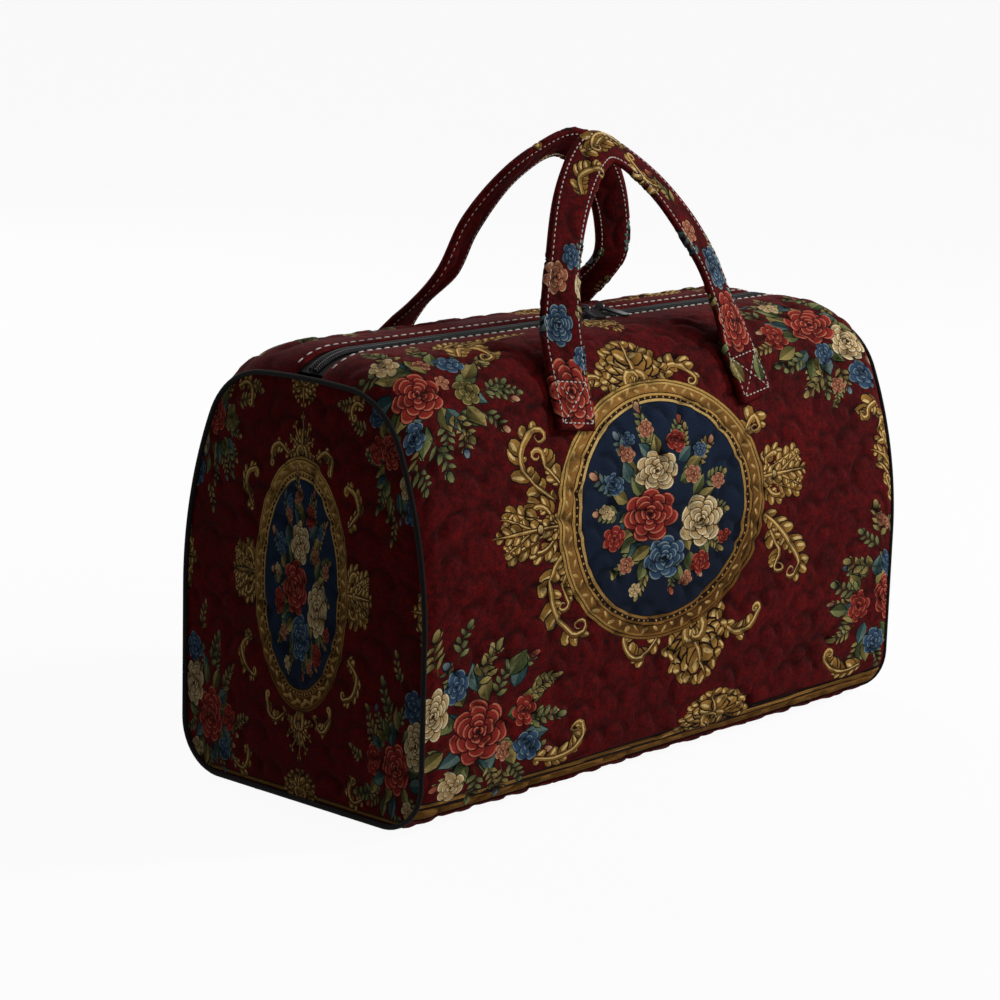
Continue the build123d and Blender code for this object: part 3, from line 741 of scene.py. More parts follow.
def print_border(half_width, lines, foot):
    """The gilt lines along the foot of a panel."""
    for near, far, colour in lines:
        mark(oblong(-half_width, half_width, foot - far, foot - near), colour)


def topmost(places, shapes):
    """For each place on the cloth, which mark is seen there; minus one is off it."""
    order = np.argsort(places[:, 0])
    sorted_x = places[order, 0]
    tops = np.full(len(places), -1)
    for k, shape in enumerate(shapes):
        rim = np.array(shape[0])
        low, top = np.searchsorted(sorted_x, (rim[:, 0].min(), rim[:, 0].max()))
        near = order[low:top]
        near = near[(places[near, 1] >= rim[:, 1].min()) & (places[near, 1] <= rim[:, 1].max())]
        px, py = places[near, 0][:, None], places[near, 1][:, None]
        x0, y0 = rim[:, 0], rim[:, 1]
        x1, y1 = np.roll(x0, -1), np.roll(y0, -1)
        rise = np.where(y1 == y0, 1e-9, y1 - y0)
        crossed = ((y0 > py) != (y1 > py)) & (px < (x1 - x0) * (py - y0) / rise + x0)
        within = crossed.sum(axis=1) % 2 == 1
        tops[near[within & ((tops[near] >= 0) | (k == 0))]] = k
    return tops


# The cloth is cut into triangles with nearly equal sides: row_share is how far apart
# their rows lie, and rim_clear keeps their corners off the edge of the cloth.
row_share, rim_clear, same_spot = 0.866, 0.4, 1e-4


def added(name, mesh):
    """Puts a mesh into the scene as a piece."""
    piece = bpy.data.objects.new(name, mesh)
    bpy.context.scene.collection.objects.link(piece)
    return piece


def cut_cloth(name, outline, pitch, place, ground):
    """Cuts a flat piece of cloth along its print, bends it to shape with place, and
    keeps the print as a colour of each corner."""
    xs, ys = [p[0] for p in outline], [p[1] for p in outline]
    rim = []
    for (x0, y0), (x1, y1) in zip(outline, outline[1:] + outline[:1]):
        parts = max(1, round(math.hypot(x1 - x0, y1 - y0) / pitch))
        rim.extend((x0 + (x1 - x0) * i / parts, y0 + (y1 - y0) * i / parts) for i in range(parts))
    shapes = [(rim, None, None, None, None)]
    for shape in marks:
        if max(p[0] for p in shape[0]) > min(xs) and min(p[0] for p in shape[0]) < max(xs):
            shapes.append(shape)
    # An edge of a mark that lies under later marks at both ends and its middle isn't cut.
    corners = np.array([p for shape in shapes for p in shape[0]])
    owner = np.array([k for k, shape in enumerate(shapes) for _ in shape[0]])
    ahead = np.arange(1, len(owner) + 1)
    round_again = np.searchsorted(owner, owner)
    after = np.where(ahead < np.searchsorted(owner, owner, "right"), ahead, round_again)
    shown = topmost((corners * 0.5 + corners[after] * 0.5), shapes) <= owner
    shown |= topmost(corners, shapes) <= owner
    shown |= topmost(corners[after], shapes) <= owner
    shown |= owner == 0
    edges = [(int(i), int(after[i])) for i in np.flatnonzero(shown)]
    wanted = sorted({i for edge in edges for i in edge})
    renumber = {i: n for n, i in enumerate(wanted)}
    points = [Vector(corners[i]) for i in wanted]
    edges = [(renumber[i], renumber[j]) for i, j in edges]
    rows = int((max(ys) - min(ys)) / (pitch * row_share)) + 1
    columns = int((max(xs) - min(xs)) / pitch) + 1
    for j in range(1, rows):
        for i in range(1, columns):
            x = min(xs) + (i + 0.5 * (j % 2)) * pitch
            y = min(ys) + j * pitch * row_share
            if x < max(xs) - pitch * rim_clear and y < max(ys) - pitch * rim_clear:
                points.append(Vector((x, y)))
    verts, _, cut, _, _, _ = delaunay_2d_cdt(points, edges, [], 0, same_spot)
    spots = np.array([(v.x, v.y) for v in verts])
    tops = topmost(spots[np.array(cut)].mean(axis=1), shapes)
    kept = [i for i in range(len(cut)) if tops[i] >= 0]
    used = sorted({v for i in kept for v in cut[i]})
    number = {v: k for k, v in enumerate(used)}
    mesh = bpy.data.meshes.new(name)
    placed = [place(verts[v].x, verts[v].y) for v in used]
    mesh.from_pydata([p for p, _ in placed], [], [[number[v] for v in cut[i]] for i in kept])
    colours, flat = [], []
    ground_colour = [*linear(ground)[:3], 1.0]
    for i in kept:
        top = tops[i]
        for v in cut[i]:
            x, y = verts[v]
            flat.extend((x * MM, y * MM))
            if top == 0:
                colours.extend(ground_colour)
                continue
            _, low, high_colour, start, end = shapes[top]
            share = 0.0
            if start is not None:
                dx, dy = end[0] - start[0], end[1] - start[1]
                share = ((x - start[0]) * dx + (y - start[1]) * dy) / (dx * dx + dy * dy)
                share = min(1.0, max(0.0, share))
            colours.extend(a + (b - a) * share for a, b in zip(low[:3], high_colour[:3]))
            colours.append(0.0)
    mesh.attributes.new("Print", "FLOAT_COLOR", "CORNER").data.foreach_set("color", colours)
    # Crease: how deep each point lies in a stitch line, which the cloth's material turns into painted shade.
    mesh.attributes.new("Crease", "FLOAT", "POINT").data.foreach_set("value", [c for _, c in placed])
    mesh.uv_layers.new(name="Cloth").data.foreach_set("uv", flat)
    mesh.shade_smooth()
    piece = added(name, mesh)
    piece.data.materials.append(burgundy_cloth)
    return piece


# Brushed polyester, printed, then quilted: matt, with mottled dye on the plain ground, a fine weave, and
# painted shade, darker colour along the stitch lines where the relief also sinks. The dye's blotches are 4 mm
# and its patches 40 mm, the nap's flecks 1.6 mm. Threads of such cloth lie about 0.3 mm apart and are
# coarsened to 1 mm.
blotch_scale, patch_scale, fleck_scale, thread_scale = 230.0, 26.0, 620.0, 300.0
ground_dark, ground_bright = "#230304", "#6e0e10"
# How dark the painted shade along the stitch lines goes, as a share of the colour there.
crease_shade = 0.24

burgundy_cloth = bare_material("quilted_printed_polyester")
ink = node(burgundy_cloth, "Attribute", attribute_name="Print")
crease = node(burgundy_cloth, "Attribute", attribute_name="Crease")
flat_on = node(burgundy_cloth, "UVMap", uv_map="Cloth").outputs[0]
place_on = node(burgundy_cloth, "TexCoord").outputs["Object"]
noise = {"Vector": place_on, "Scale": blotch_scale, "Detail": 8.0, "Roughness": 0.78}
blotch = node(burgundy_cloth, "TexNoise", noise)
noise = {"Vector": place_on, "Scale": patch_scale, "Detail": 3.0}
patch = node(burgundy_cloth, "TexNoise", noise)
noise = {"Vector": flat_on, "Scale": fleck_scale, "Detail": 3.0, "Roughness": 0.8}
fleck = node(burgundy_cloth, "TexNoise", noise)
patch_range = {"Value": patch.outputs["Fac"], 1: 0.3, 2: 0.7, 3: 0.7, 4: 1.3}
fleck_range = {"Value": fleck.outputs["Fac"], 1: 0.3, 2: 0.7, 3: 0.62, 4: 1.4}
crease_shade_range = {"Value": crease.outputs["Fac"], 3: 1.0, 4: crease_shade}
multiply = {"data_type": "RGBA", "blend_type": "MULTIPLY"}
plain = node(burgundy_cloth, "ValToRGB", {"Fac": blotch.outputs["Fac"]})
dark_end, bright_end = plain.color_ramp.elements
dark_end.position, dark_end.color = 0.36, linear(ground_dark)
bright_end.position, bright_end.color = 0.66, linear(ground_bright)
patches = {0: 1.0, 6: plain.outputs["Color"], 7: node(burgundy_cloth, "MapRange", patch_range).outputs[0]}
plain = node(burgundy_cloth, "Mix", patches, **multiply).outputs[2]
printed = {0: ink.outputs["Alpha"], 6: ink.outputs["Color"], 7: plain}
dyed = node(burgundy_cloth, "Mix", printed, data_type="RGBA").outputs[2]
flecks = {0: 1.0, 6: dyed, 7: node(burgundy_cloth, "MapRange", fleck_range).outputs[0]}
dyed = node(burgundy_cloth, "Mix", flecks, **multiply).outputs[2]
# Painted shade: the colour is multiplied down towards crease_shade along the stitch lines, over the real
# shade of the quilted relief.
painted_crease_shade = {0: 1.0, 6: dyed, 7: node(burgundy_cloth, "MapRange", crease_shade_range).outputs[0]}
dyed = node(burgundy_cloth, "Mix", painted_crease_shade, **multiply).outputs[2]
threads = {"Vector": flat_on, "Scale": thread_scale, "Distortion": 0.6}
warp = node(burgundy_cloth, "TexWave", threads, bands_direction="X").outputs["Fac"]
weft = node(burgundy_cloth, "TexWave", threads, bands_direction="Y").outputs["Fac"]
weave = node(burgundy_cloth, "Math", {0: warp, 1: weft}, operation="MULTIPLY").outputs[0]
bump = node(burgundy_cloth, "Bump", {"Height": weave, "Strength": 0.25, "Distance": 0.0004})
nap = {"Height": fleck.outputs["Fac"], "Strength": 0.35, "Distance": 0.0008, "Normal": bump.outputs[0]}
bump = node(burgundy_cloth, "Bump", nap).outputs[0]
matt_cloth = {"Base Color": dyed, "Roughness": 0.88, "Specular IOR Level": 0.08, "Normal": bump}
skin = node(burgundy_cloth, "BsdfPrincipled", matt_cloth)
node(burgundy_cloth, "OutputMaterial", {"Surface": skin.outputs[0]})

front_lines = quilting(280, 420, 7)
front_pitch = 3.6
burgundy = "#4a1014"
cloth_sink = 0.2
hem_sink, hem_sink_run = 1.5, 10.0
hem_flat, hem_calm = 4.0, 30.0
wall_nodes = ["panel", "navy_field", "gilding", "red_roses", "cream_roses", "blue_roses", "leaves"]


def hem_dip(s):
    """How far the turned edge sinks beside the zip."""
    return hem_sink * (1 - ease((s - hem_start) / hem_sink_run))


def wall_place(x, y):
    """The front wall's cloth at X and minus the way down from the ridge."""
    s = -y
    height, crease = relief(x, y, front_lines)
    fade = ease((wall_half - abs(x)) / tuck_run) * ease((s - hem_start - hem_flat) / hem_calm)
    tuck = tuck_depth * (1 - ease((wall_half - abs(x)) / tuck_run))
    lift = height * fade - tuck - cloth_sink - hem_dip(s)
    if s < hem_start:
        turn = min(math.pi, (hem_start - s) / hem_radius)
        back = max(0.0, hem_start - s - math.pi * hem_radius)
        depth_y, z = section_point(x, hem_start, lift - hem_radius * (1 - math.cos(turn)))
        depth_y += back - hem_radius * math.sin(turn)
    else:
        depth_y, z = section_point(x, s, lift)
    return (x * MM, -depth_y * MM, max(0.0, z) * MM), crease * fade


print_border(wall_half, border_lines, 0.0)
print_front()
front_cut = oblong(-wall_half, wall_half, -wall_end, -hem_start + hem_depth)
front_wall = cut_cloth("front_wall", front_cut, front_pitch, wall_place, burgundy)
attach(front_wall, "bag")
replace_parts(front_wall, *("front_" + n for n in wall_nodes))


# Back wall: the same cut of printed, quilted cloth as the front, sewn in the other way
# round. The photo doesn't show it.
def turned_about(piece, name):
    """A copy of a piece, turned half round the bag's upright axis."""
    other = piece.copy()
    other.data = piece.data.copy()
    other.name = other.data.name = name
    other.data.transform(Matrix.Rotation(math.pi, 4, "Z"))
    bpy.context.scene.collection.objects.link(other)
    other["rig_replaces"] = []
    return other


back_wall = turned_about(front_wall, "back_wall")
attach(back_wall, "bag")
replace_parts(back_wall, *("back_" + n for n in wall_nodes))

# End walls: arched panels of the same quilted cloth, with the front's design pressed
# narrow, sewn to both walls and the base through the piping. The right end isn't seen
# in the photo and repeats the left one, turned about.
marks = []
end_inset, end_pitch = 3.4, 2.7
end_x = half_length - cord_diameter / 2
rim_x = half_length - cord_diameter - 0.3
rim_step = 5.0
end_rise, end_rise_run = 1.4, 60.0
end_puff, end_tuck, end_tuck_run = 0.7, 1.6, 10.0
end_lines = quilting(120, 300, 11)
end_stretch = 0.55
end_medallion = (1.0, 150.0)
end_medallion_half = (33.5, 70.5)
end_frame_rim = (10.0, 15.5)
end_groups = ((-85, 46, 34), (88, 46, 34), (-82, 246, 30), (84, 246, 30))
end_heads = (
    (-103, 88, 8, 11, blue_rose, small_head), (-67, 45, 6, 10, red_rose, small_head),
    (-85, 44, 12, 20, red_rose, full_head), (-103, 62, 10, 17, cream_rose, full_head),
    (-100, 18, 6, 7, cream_rose, small_head), (-72, 22, 6, 8, blue_rose, small_head),
    (104, 88, 8, 12, blue_rose, small_head), (70, 46, 6, 11, red_rose, small_head),
    (90, 44, 12, 18, red_rose, full_head), (106, 62, 9, 17, cream_rose, full_head),
    (100, 17, 5, 7, cream_rose, small_head), (-84, 252, 10, 14, red_rose, full_head),
    (-68, 252, 5, 10, olive_leaf, small_head), (-97, 233, 6, 11, cream_rose, small_head),
    (-101, 212, 7, 12, blue_rose, small_head), (68, 250, 6, 10, red_rose, small_head),
    (80, 252, 8, 14, red_rose, full_head), (93, 232, 5, 11, cream_rose, small_head),
    (66, 272, 6, 8, blue_rose, small_head), (98, 216, 6, 11, blue_rose, small_head),
)
end_twigs = (
    (-96, 98, 24, 70, olive_leaf), (-86, 74, 30, 62, green_leaf), (-74, 60, 26, 50, olive_leaf),
    (-78, 22, 24, -10, green_leaf), (94, 98, 24, 112, olive_leaf), (86, 74, 30, 118, green_leaf),
    (74, 60, 26, 130, olive_leaf), (70, 26, 26, 190, green_leaf), (-90, 208, 22, -70, olive_leaf),
    (-74, 236, 26, -60, green_leaf), (-62, 262, 24, 10, olive_leaf), (84, 214, 22, -100, olive_leaf),
    (74, 234, 24, -110, green_leaf), (60, 262, 24, 170, olive_leaf), (-62, 40, 22, 20, olive_leaf),
    (62, 44, 22, 160, olive_leaf), (-52, 276, 22, -6, olive_leaf), (46, 278, 22, 186, olive_leaf),
)
end_scrolls = (
    (((-44, 196), (-52, 206), (-50, 218), (-42, 222)), 3.4, 5, 1, -3.6),
    (((44, 196), (52, 206), (50, 218), (42, 222)), 3.4, 5, -1, 3.6),
    (((-46, 108), (-54, 98), (-50, 84), (-42, 80)), 3.4, 5, -1, 3.6),
    (((46, 108), (54, 98), (50, 84), (42, 80)), 3.4, 5, 1, -3.6),
    (((-12, 236), (-20, 242), (-27, 238), (-28, 228)), 3.0, 4, 1, 3.0),
    (((14, 236), (22, 242), (28, 236), (28, 228)), 3.0, 4, -1, -3.0),
    (((-12, 62), (-20, 54), (-28, 58), (-30, 70)), 3.0, 4, -1, -3.0),
    (((14, 62), (22, 54), (28, 58), (30, 70)), 3.0, 4, 1, 3.0),
    (((-62, 16), (-54, 12), (-48, 20), (-50, 28)), 3.0, 4, -1, 3.2),
    (((60, 16), (52, 12), (48, 20), (50, 28)), 3.0, 4, 1, -3.2),
    (((-62, 274), (-54, 278), (-48, 272), (-48, 264)), 3.0, 4, 1, -3.2),
    (((54, 276), (48, 278), (44, 272), (46, 266)), 3.0, 4, -1, 3.2),
)


def print_end():
    """The left end's whole design, from the leaves behind to the bouquet on top."""
    x, y = end_medallion
    for gx, gy, reach in end_groups:
        corner_leaves(gx, gy, end_stretch, 1.0, reach, gx)
    for tx, ty, reach, turn, tones in end_twigs:
        sprig((tx, ty, reach * 0.6, reach, math.radians(turn)), tones, 7)
    for points, width, lobes, side, curl in end_scrolls:
        scroll(points, width, lobes, side, curl, end_stretch)
    for i, (hx, hy, across, rise, tones, rings) in enumerate(end_heads):
        rose((hx, hy, across, rise, 0.3 * i), tones, rings, 80 + i)
    side_ornament(-108, 151, 0.52, 0.9, -1)
    side_ornament(108, 151, 0.52, 0.9, 1)
    side_tip(x - 42, y + 1, 0.42, 0.95, -1)
    side_tip(x + 42, y + 1, 0.42, 0.95, 1)
    plume((x - 1, 232, 19, 34, 0), 7)
    plume((x, 62, 19, 34, math.pi), 7)
    plume((x, 4, 22, 20, 0), 7)
    plume((x - 1, 290, 18, 22, math.pi), 7, 1.15)
    carved_frame((x, y, *end_medallion_half, 0), *end_frame_rim)
    navy_field((x, y, *end_medallion_half, 0), 70)
    bouquet(x + 1, y, 0.37, 1.05)


def end_outline(inset):
    """The arched outline of an end, from its foot at +Y over the top to that at -Y."""
    half = [section_point(rim_x, rim_step * i, -inset) for i in range(int(wall_end / rim_step) + 1)]
    return [*reversed(half[1:]), (0.0, half[0][1])] + [(-y, z) for y, z in half[1:]]


end_edge = end_outline(end_inset)


def end_place(x, y):
    """The left end's cloth at minus Y and Z."""
    height, crease = relief(x, y, end_lines)
    near = min(math.hypot(x - ex, y - ez) for ex, ez in end_edge[::2] + [(x, end_edge[0][1])])
    fade = ease(near / end_tuck_run)
    lift = end_rise * ease(near / end_rise_run) + end_puff * height * fade - end_tuck * (1 - fade)
    return (-(end_x + lift) * MM, -x * MM, y * MM), crease * fade


end_border_lines = ((6.5, 7.6, "#1a0b07"), (7.6, 9.6, "#a0743a"), (9.6, 10.8, "#1a0b07"))
print_border(half_depth, end_border_lines, 15.0)
print_end()
left_end = cut_cloth("left_end", end_edge[::-1], end_pitch, end_place, burgundy)
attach(left_end, "bag")
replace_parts(left_end, "left_end_panel", *("left_" + n for n in wall_nodes[1:]))

right_end = turned_about(left_end, "right_end")
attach(right_end, "bag")
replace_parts(right_end, "right_end_panel", *("right_" + n for n in wall_nodes[1:]))

# Base: a flat panel of the same quilted cloth, left plain, sewn between the feet of
# the two walls. The photo doesn't show it.
marks = []
base_lines = quilting(280, 100, 13)
base_half_width = half_depth - base_radius
base_pitch, base_puff = 4.0, 0.9


def base_place(x, y):
    """The base's cloth at X and minus Y, on the floor."""
    height, crease = relief(x, y, base_lines)
    return (x * MM, -y * MM, max(0.0, base_puff - base_puff * height) * MM), crease


base_cut = oblong(-wall_half, wall_half, -base_half_width, base_half_width)
base = cut_cloth("base_quilt", base_cut, base_pitch, base_place, burgundy)
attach(base, "bag")
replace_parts(base, "base_panel")

# Piping: a soft cord covered in black bias-cut cotton, in one loop round each end,
# caught in the seam between the end and the walls and base.
cord_radius = 1.8

# Black cotton is dull: a soft dark line with a fine grain. Threads of such cotton are
# about 0.4 mm and are coarsened to 1.1 mm.
piping_black = bare_material("black_bias_cotton")
place_on = node(piping_black, "TexCoord").outputs["Object"]
thread = node(piping_black, "TexNoise", {"Vector": place_on, "Scale": 900.0, "Detail": 3.0}).outputs["Fac"]
tone = node(piping_black, "ValToRGB", {"Fac": thread})
dark_end, bright_end = tone.color_ramp.elements
dark_end.color, bright_end.color = linear("#070606"), linear("#141110")
bump = node(piping_black, "Bump", {"Height": thread, "Strength": 0.5, "Distance": 0.0004}).outputs[0]
dull_cloth = {
    "Base Color": tone.outputs["Color"],
    "Roughness": 0.85,
    "Specular IOR Level": 0.12,
    "Normal": bump,
}
skin = node(piping_black, "BsdfPrincipled", dull_cloth)
node(piping_black, "OutputMaterial", {"Surface": skin.outputs[0]})

cord_line = end_outline(cord_diameter / 2)
for side, name in ((-1, "left_piping"), (1, "right_piping")):
    line = bpy.data.curves.new(name + "_line", "CURVE")
    line.dimensions = "3D"
    line.bevel_depth = cord_radius * MM
    line.bevel_resolution = 3
    run = line.splines.new("POLY")
    run.points.add(len(cord_line) - 1)
    for point, (y, z) in zip(run.points, cord_line):
        point.co = (side * end_x * MM, y * MM, z * MM, 1.0)
    run.use_cyclic_u = True
    cord = bpy.data.objects.new(name + "_cord", line)
    bpy.context.scene.collection.objects.link(cord)
    bpy.ops.object.select_all(action="DESELECT")
    cord.select_set(True)
    bpy.context.view_layer.objects.active = cord
    bpy.ops.object.convert(target="MESH")
    cord = bpy.context.object
    cord.name = cord.data.name = name + "_cord"
    cord.data.shade_smooth()
    cord.data.materials.clear()
    cord.data.materials.append(piping_black)
    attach(cord, "bag")
    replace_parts(cord, name)

# Zip: two black woven tapes sewn under the turned edges of the walls, each with half
# of a nylon coil stitched along its free edge, one arch of wire for each turn.
_, tape_high = (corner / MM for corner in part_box("front_zip_tape"))
coil_low, coil_high = (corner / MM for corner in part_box("front_zip_coil"))
zip_half = coil_high.x
turn_pitch = 1.5
wire_radius, wire_sides = 0.62, 5
arch_points, arch_gap, arch_foot, arch_high = 7, 1.0, 0.2, 3.8
tape_rows, tape_steps, tape_thick = (0.5, 5.2, 9.0, 12.0, 16.0), 120, 0.8

# Drawn nylon wire: smooth, so each turn catches a thin light along its back.
zip_black = bare_material("black_nylon_coil")
drawn = {"Base Color": linear("#0b0a0b"), "Roughness": 0.5, "Specular IOR Level": 0.3}
skin = node(zip_black, "BsdfPrincipled", drawn)
node(zip_black, "OutputMaterial", {"Surface": skin.outputs[0]})

# Woven tape: its ribs break the light into fine slanting lines. Ribs of such tape are
# about 0.4 mm apart and are coarsened to 0.75 mm.
tape_black = bare_material("black_woven_polyester_tape")
place_on = node(tape_black, "TexCoord").outputs["Object"]
weave = {"Vector": place_on, "Scale": 420.0, "Distortion": 1.0}
ribs = node(tape_black, "TexWave", weave, bands_direction="DIAGONAL").outputs["Fac"]
tone = node(tape_black, "ValToRGB", {"Fac": ribs})
dark_end, bright_end = tone.color_ramp.elements
dark_end.color, bright_end.color = linear("#060506"), linear("#141214")
bump = node(tape_black, "Bump", {"Height": ribs, "Strength": 0.6, "Distance": 0.0004}).outputs[0]
ribbed = {"Base Color": tone.outputs["Color"], "Roughness": 0.75, "Specular IOR Level": 0.25, "Normal": bump}
skin = node(tape_black, "BsdfPrincipled", ribbed)
node(tape_black, "OutputMaterial", {"Surface": skin.outputs[0]})


def tube(path, radius, sides, verts, faces):
    """Adds a round wire, bent across X, to lists of vertices and faces."""
    first, count = len(verts), len(path)
    for i, point in enumerate(path):
        along = (path[min(count - 1, i + 1)] - path[max(0, i - 1)]).normalized()
        across = along.cross(Vector((1, 0, 0))).normalized()
        third = along.cross(across)
        for k in range(sides):
            turn = 2 * math.pi * k / sides
            verts.append((point + (across * math.cos(turn) + third * math.sin(turn)) * radius) * MM)
    for i in range(count - 1):
        for k in range(sides):
            a, b = first + i * sides + k, first + i * sides + (k + 1) % sides
            faces.append((a, b, b + sides, a + sides))
    faces.append(tuple(first + k for k in reversed(range(sides))))
    faces.append(tuple(first + (count - 1) * sides + k for k in range(sides)))


for side, name in ((-1, "front"), (1, "back")):
    verts, faces = [], []
    turns = int(2 * zip_half / turn_pitch)
    wide = coil_high.y - coil_low.y
    for i in range(turns):
        x = -zip_half + (i + 0.5 + 0.25 * side) * turn_pitch
        base_z = tape_high.z - fall(x)
        path = []
        for k in range(arch_points):
            turn = math.pi * k / (arch_points - 1)
            y = arch_gap / 2 + wire_radius + (wide - 2 * wire_radius) / 2 * (1 - math.cos(turn))
            z = base_z + arch_foot + (arch_high - wire_radius - arch_foot) * math.sin(turn) ** 0.75
            path.append(Vector((x, side * y, z)))
        tube(path, wire_radius, wire_sides, verts, faces)
    mesh = bpy.data.meshes.new(name + "_coil_turns")
    mesh.from_pydata(verts, [], faces)
    mesh.shade_smooth()
    coil = added(name + "_coil_turns", mesh)
    coil.data.materials.append(zip_black)
    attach(coil, "bag")
    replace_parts(coil, name + "_zip_coil")

    mesh = bpy.data.meshes.new(name + "_woven_tape")
    strip = bmesh.new()
    grid = []
    for i in range(tape_steps + 1):
        x = -zip_half + 2 * zip_half * i / tape_steps
        z = tape_high.z - fall(x)
        grid.append([strip.verts.new((x * MM, side * y * MM, z * MM)) for y in tape_rows])
    for here, ahead in zip(grid, grid[1:]):
        for k in range(len(tape_rows) - 1):
            strip.faces.new((here[k], ahead[k], ahead[k + 1], here[k + 1]))
    bmesh.ops.recalc_face_normals(strip, faces=strip.faces)
    strip.to_mesh(mesh)
    strip.free()
    tape = added(name + "_woven_tape", mesh)
    if tape.data.polygons[0].normal.z < 0:
        tape.data.flip_normals()
    bpy.ops.object.select_all(action="DESELECT")
    tape.select_set(True)
    bpy.context.view_layer.objects.active = tape
    solid = tape.modifiers.new("thickness", "SOLIDIFY")
    solid.thickness = tape_thick * MM
    solid.offset = -1.0
    bpy.ops.object.modifier_apply(modifier=solid.name)
    tape.data.materials.append(tape_black)
    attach(tape, "bag")
    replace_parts(tape, name + "_zip_tape")

# Sliders and pulls: die-cast zinc under black enamel, the slider's bar holding the
# ring and the ring the tab. Their forms are the solids' own.

# Enamel on zinc: hard and nearly black, with a clear light that is broken all over by
# small duller specks of about 1.4 mm.
enamel = bare_material("black_enamel_on_zinc")
place_on = node(enamel, "TexCoord").outputs["Object"]
specks = node(enamel, "TexNoise", {"Vector": place_on, "Scale": 700.0, "Detail": 4.0}).outputs["Fac"]
gloss = node(enamel, "MapRange", {"Value": specks, 3: 0.22, 4: 0.42}).outputs[0]
tone = node(enamel, "ValToRGB", {"Fac": specks})
dark_end, bright_end = tone.color_ramp.elements
dark_end.color, bright_end.color = linear("#0a0a0b"), linear("#1b1b1d")
skin = node(enamel, "BsdfPrincipled", {"Base Color": tone.outputs["Color"], "Roughness": gloss})
node(enamel, "OutputMaterial", {"Surface": skin.outputs[0]})
for kind in ("slider", "pull_ring", "pull_tab"):
    for side in ("left_", "right_"):
        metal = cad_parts[side + kind]
        metal.data.materials.clear()
        metal.data.materials.append(enamel)

# Carrying straps: doubled quilted cloth with a stiff filling, folded in at both edges,
# laid flat on the walls at the feet, where a stitched box holds them, and turned on
# edge at the top.
strap_thick, seat_gap = 5.0, 0.7
foot_width, grip_width = 38.0, 30.0
strap_middle = -3.0
foot_span, leg_span, foot_toe = 98.5, 92.0, 2.0
foot_end_s, foot_top_s, shoulder_s = 126.0, 94.0, 62.0
leg_curl, strap_top = 1.33, 427.0
leg_twist, apex_twist = 18.0, 45.0
foot_share, foot_blend, taper_share = 0.14, 0.2, 0.4
strap_steps = 260


def strap_line(leg_y, apex_y, lean, rise, shift, shoulder_lift):
    """The middle line of a strap, from its left foot over the top to its right foot."""
    seat = strap_thick / 2 + seat_gap
    half = []
    for s in (foot_end_s, (foot_end_s + foot_top_s) / 2, foot_top_s):
        y, z = section_point(0, s, seat)
        outward = (s - foot_top_s) / (foot_end_s - foot_top_s)
        half.append((leg_span + foot_toe + (foot_span - leg_span - foot_toe) * outward, y, z, 0.0))
    root_z = half[-1][2]
    if shoulder_lift:
        half.append((leg_span, *section_point(0, shoulder_s, seat + shoulder_lift), 0.0))
    for turn in (15, 30, 50, 70, 90):
        tall = math.sin(math.radians(turn)) ** rise
        x = leg_span * max(0.0, math.cos(math.radians(turn))) ** leg_curl
        y = leg_y + (apex_y - leg_y) * tall**lean
        z = root_z + (strap_top - root_z) * tall
        half.append((x, y, z, shift * math.sin(math.radians(turn)) ** 2))
    left = [(strap_middle - x + sway, y, z) for x, y, z, sway in half]
    right = [(strap_middle + x + sway, y, z) for x, y, z, sway in reversed(half[:-1])]
    points = [Vector(p) for p in left + right]
    times = [0.0]
    for a, b in zip(points, points[1:]):
        times.append(times[-1] + (b - a).length)
    slopes = []
    for i in range(len(points)):
        a, b = max(0, i - 1), min(len(points) - 1, i + 1)
        slopes.append((points[b] - points[a]) / (times[b] - times[a]))
    line = []
    for step in range(strap_steps + 1):
        t = times[-1] * step / strap_steps
        i = max(k for k in range(len(points) - 1) if times[k] <= t + 1e-9)
        span = times[i + 1] - times[i]
        u = (t - times[i]) / span
        line.append(
            points[i] * (2 * u**3 - 3 * u**2 + 1)
            + slopes[i] * span * (u**3 - 2 * u**2 + u)
            + points[i + 1] * (3 * u**2 - 2 * u**3)
            + slopes[i + 1] * span * (u**3 - u**2)
        )
    return line


def strap_frames(line, facing):
    """At each step of the line: the point, the way across, the outward normal and the
    width of the strap, with the strap mirrored to the side it is on."""
    frames, run = [], 0.0
    for i, point in enumerate(line):
        share = i / (len(line) - 1)
        point = Vector((point.x, facing * point.y, point.z))
        ahead, behind = line[min(len(line) - 1, i + 1)], line[max(0, i - 1)]
        along = Vector((ahead.x - behind.x, facing * (ahead.y - behind.y), ahead.z - behind.z)).normalized()
        climb = 1 - abs(2 * share - 1)
        twist = leg_twist * ease((climb - foot_share) / foot_blend)
        twist = math.radians(twist + (apex_twist - leg_twist) * ease(2 * climb - 1))
        wide = foot_width + (grip_width - foot_width) * ease((climb - foot_share) / taper_share)
        seated = Vector((0, along.z, -along.y)) * (1 if share < 0.5 else -1)
        raised = (Vector((0, 1, 0)) - along * along.y).normalized()
        lift = ease((climb - foot_share) / foot_blend)
        outward = (seated * (1 - lift) + raised * lift).normalized()
        normal = outward * (facing * math.cos(twist)) + along.cross(outward) * math.sin(twist)
        if i:
            run += (point - frames[-1][1]).length
        frames.append((run, point, normal.cross(along).normalized(), normal.normalized(), wide))
    return frames


def strap_at(frames, t):
    """The point, the way across, the outward normal and the width a way t along."""
    low, top = 0, len(frames) - 1
    while top - low > 1:
        middle = (low + top) // 2
        low, top = (middle, top) if frames[middle][0] <= t else (low, middle)
    a, b = frames[low], frames[top]
    u = min(1.0, max(0.0, (t - a[0]) / max(1e-6, b[0] - a[0])))
    return [a[k] * (1 - u) + b[k] * u for k in range(1, 5)]


edge_round = strap_thick / 2
edge_turn, seam_turn = 1.25, 2.25
stitch_in = 4.2
tip_share, tip_run = 0.45, 3.0
groove_depth, groove_width = 0.45, 1.3
strap_puff, strap_crown = 0.35, 0.3
calm_side, calm_end = 4.0, 6.0


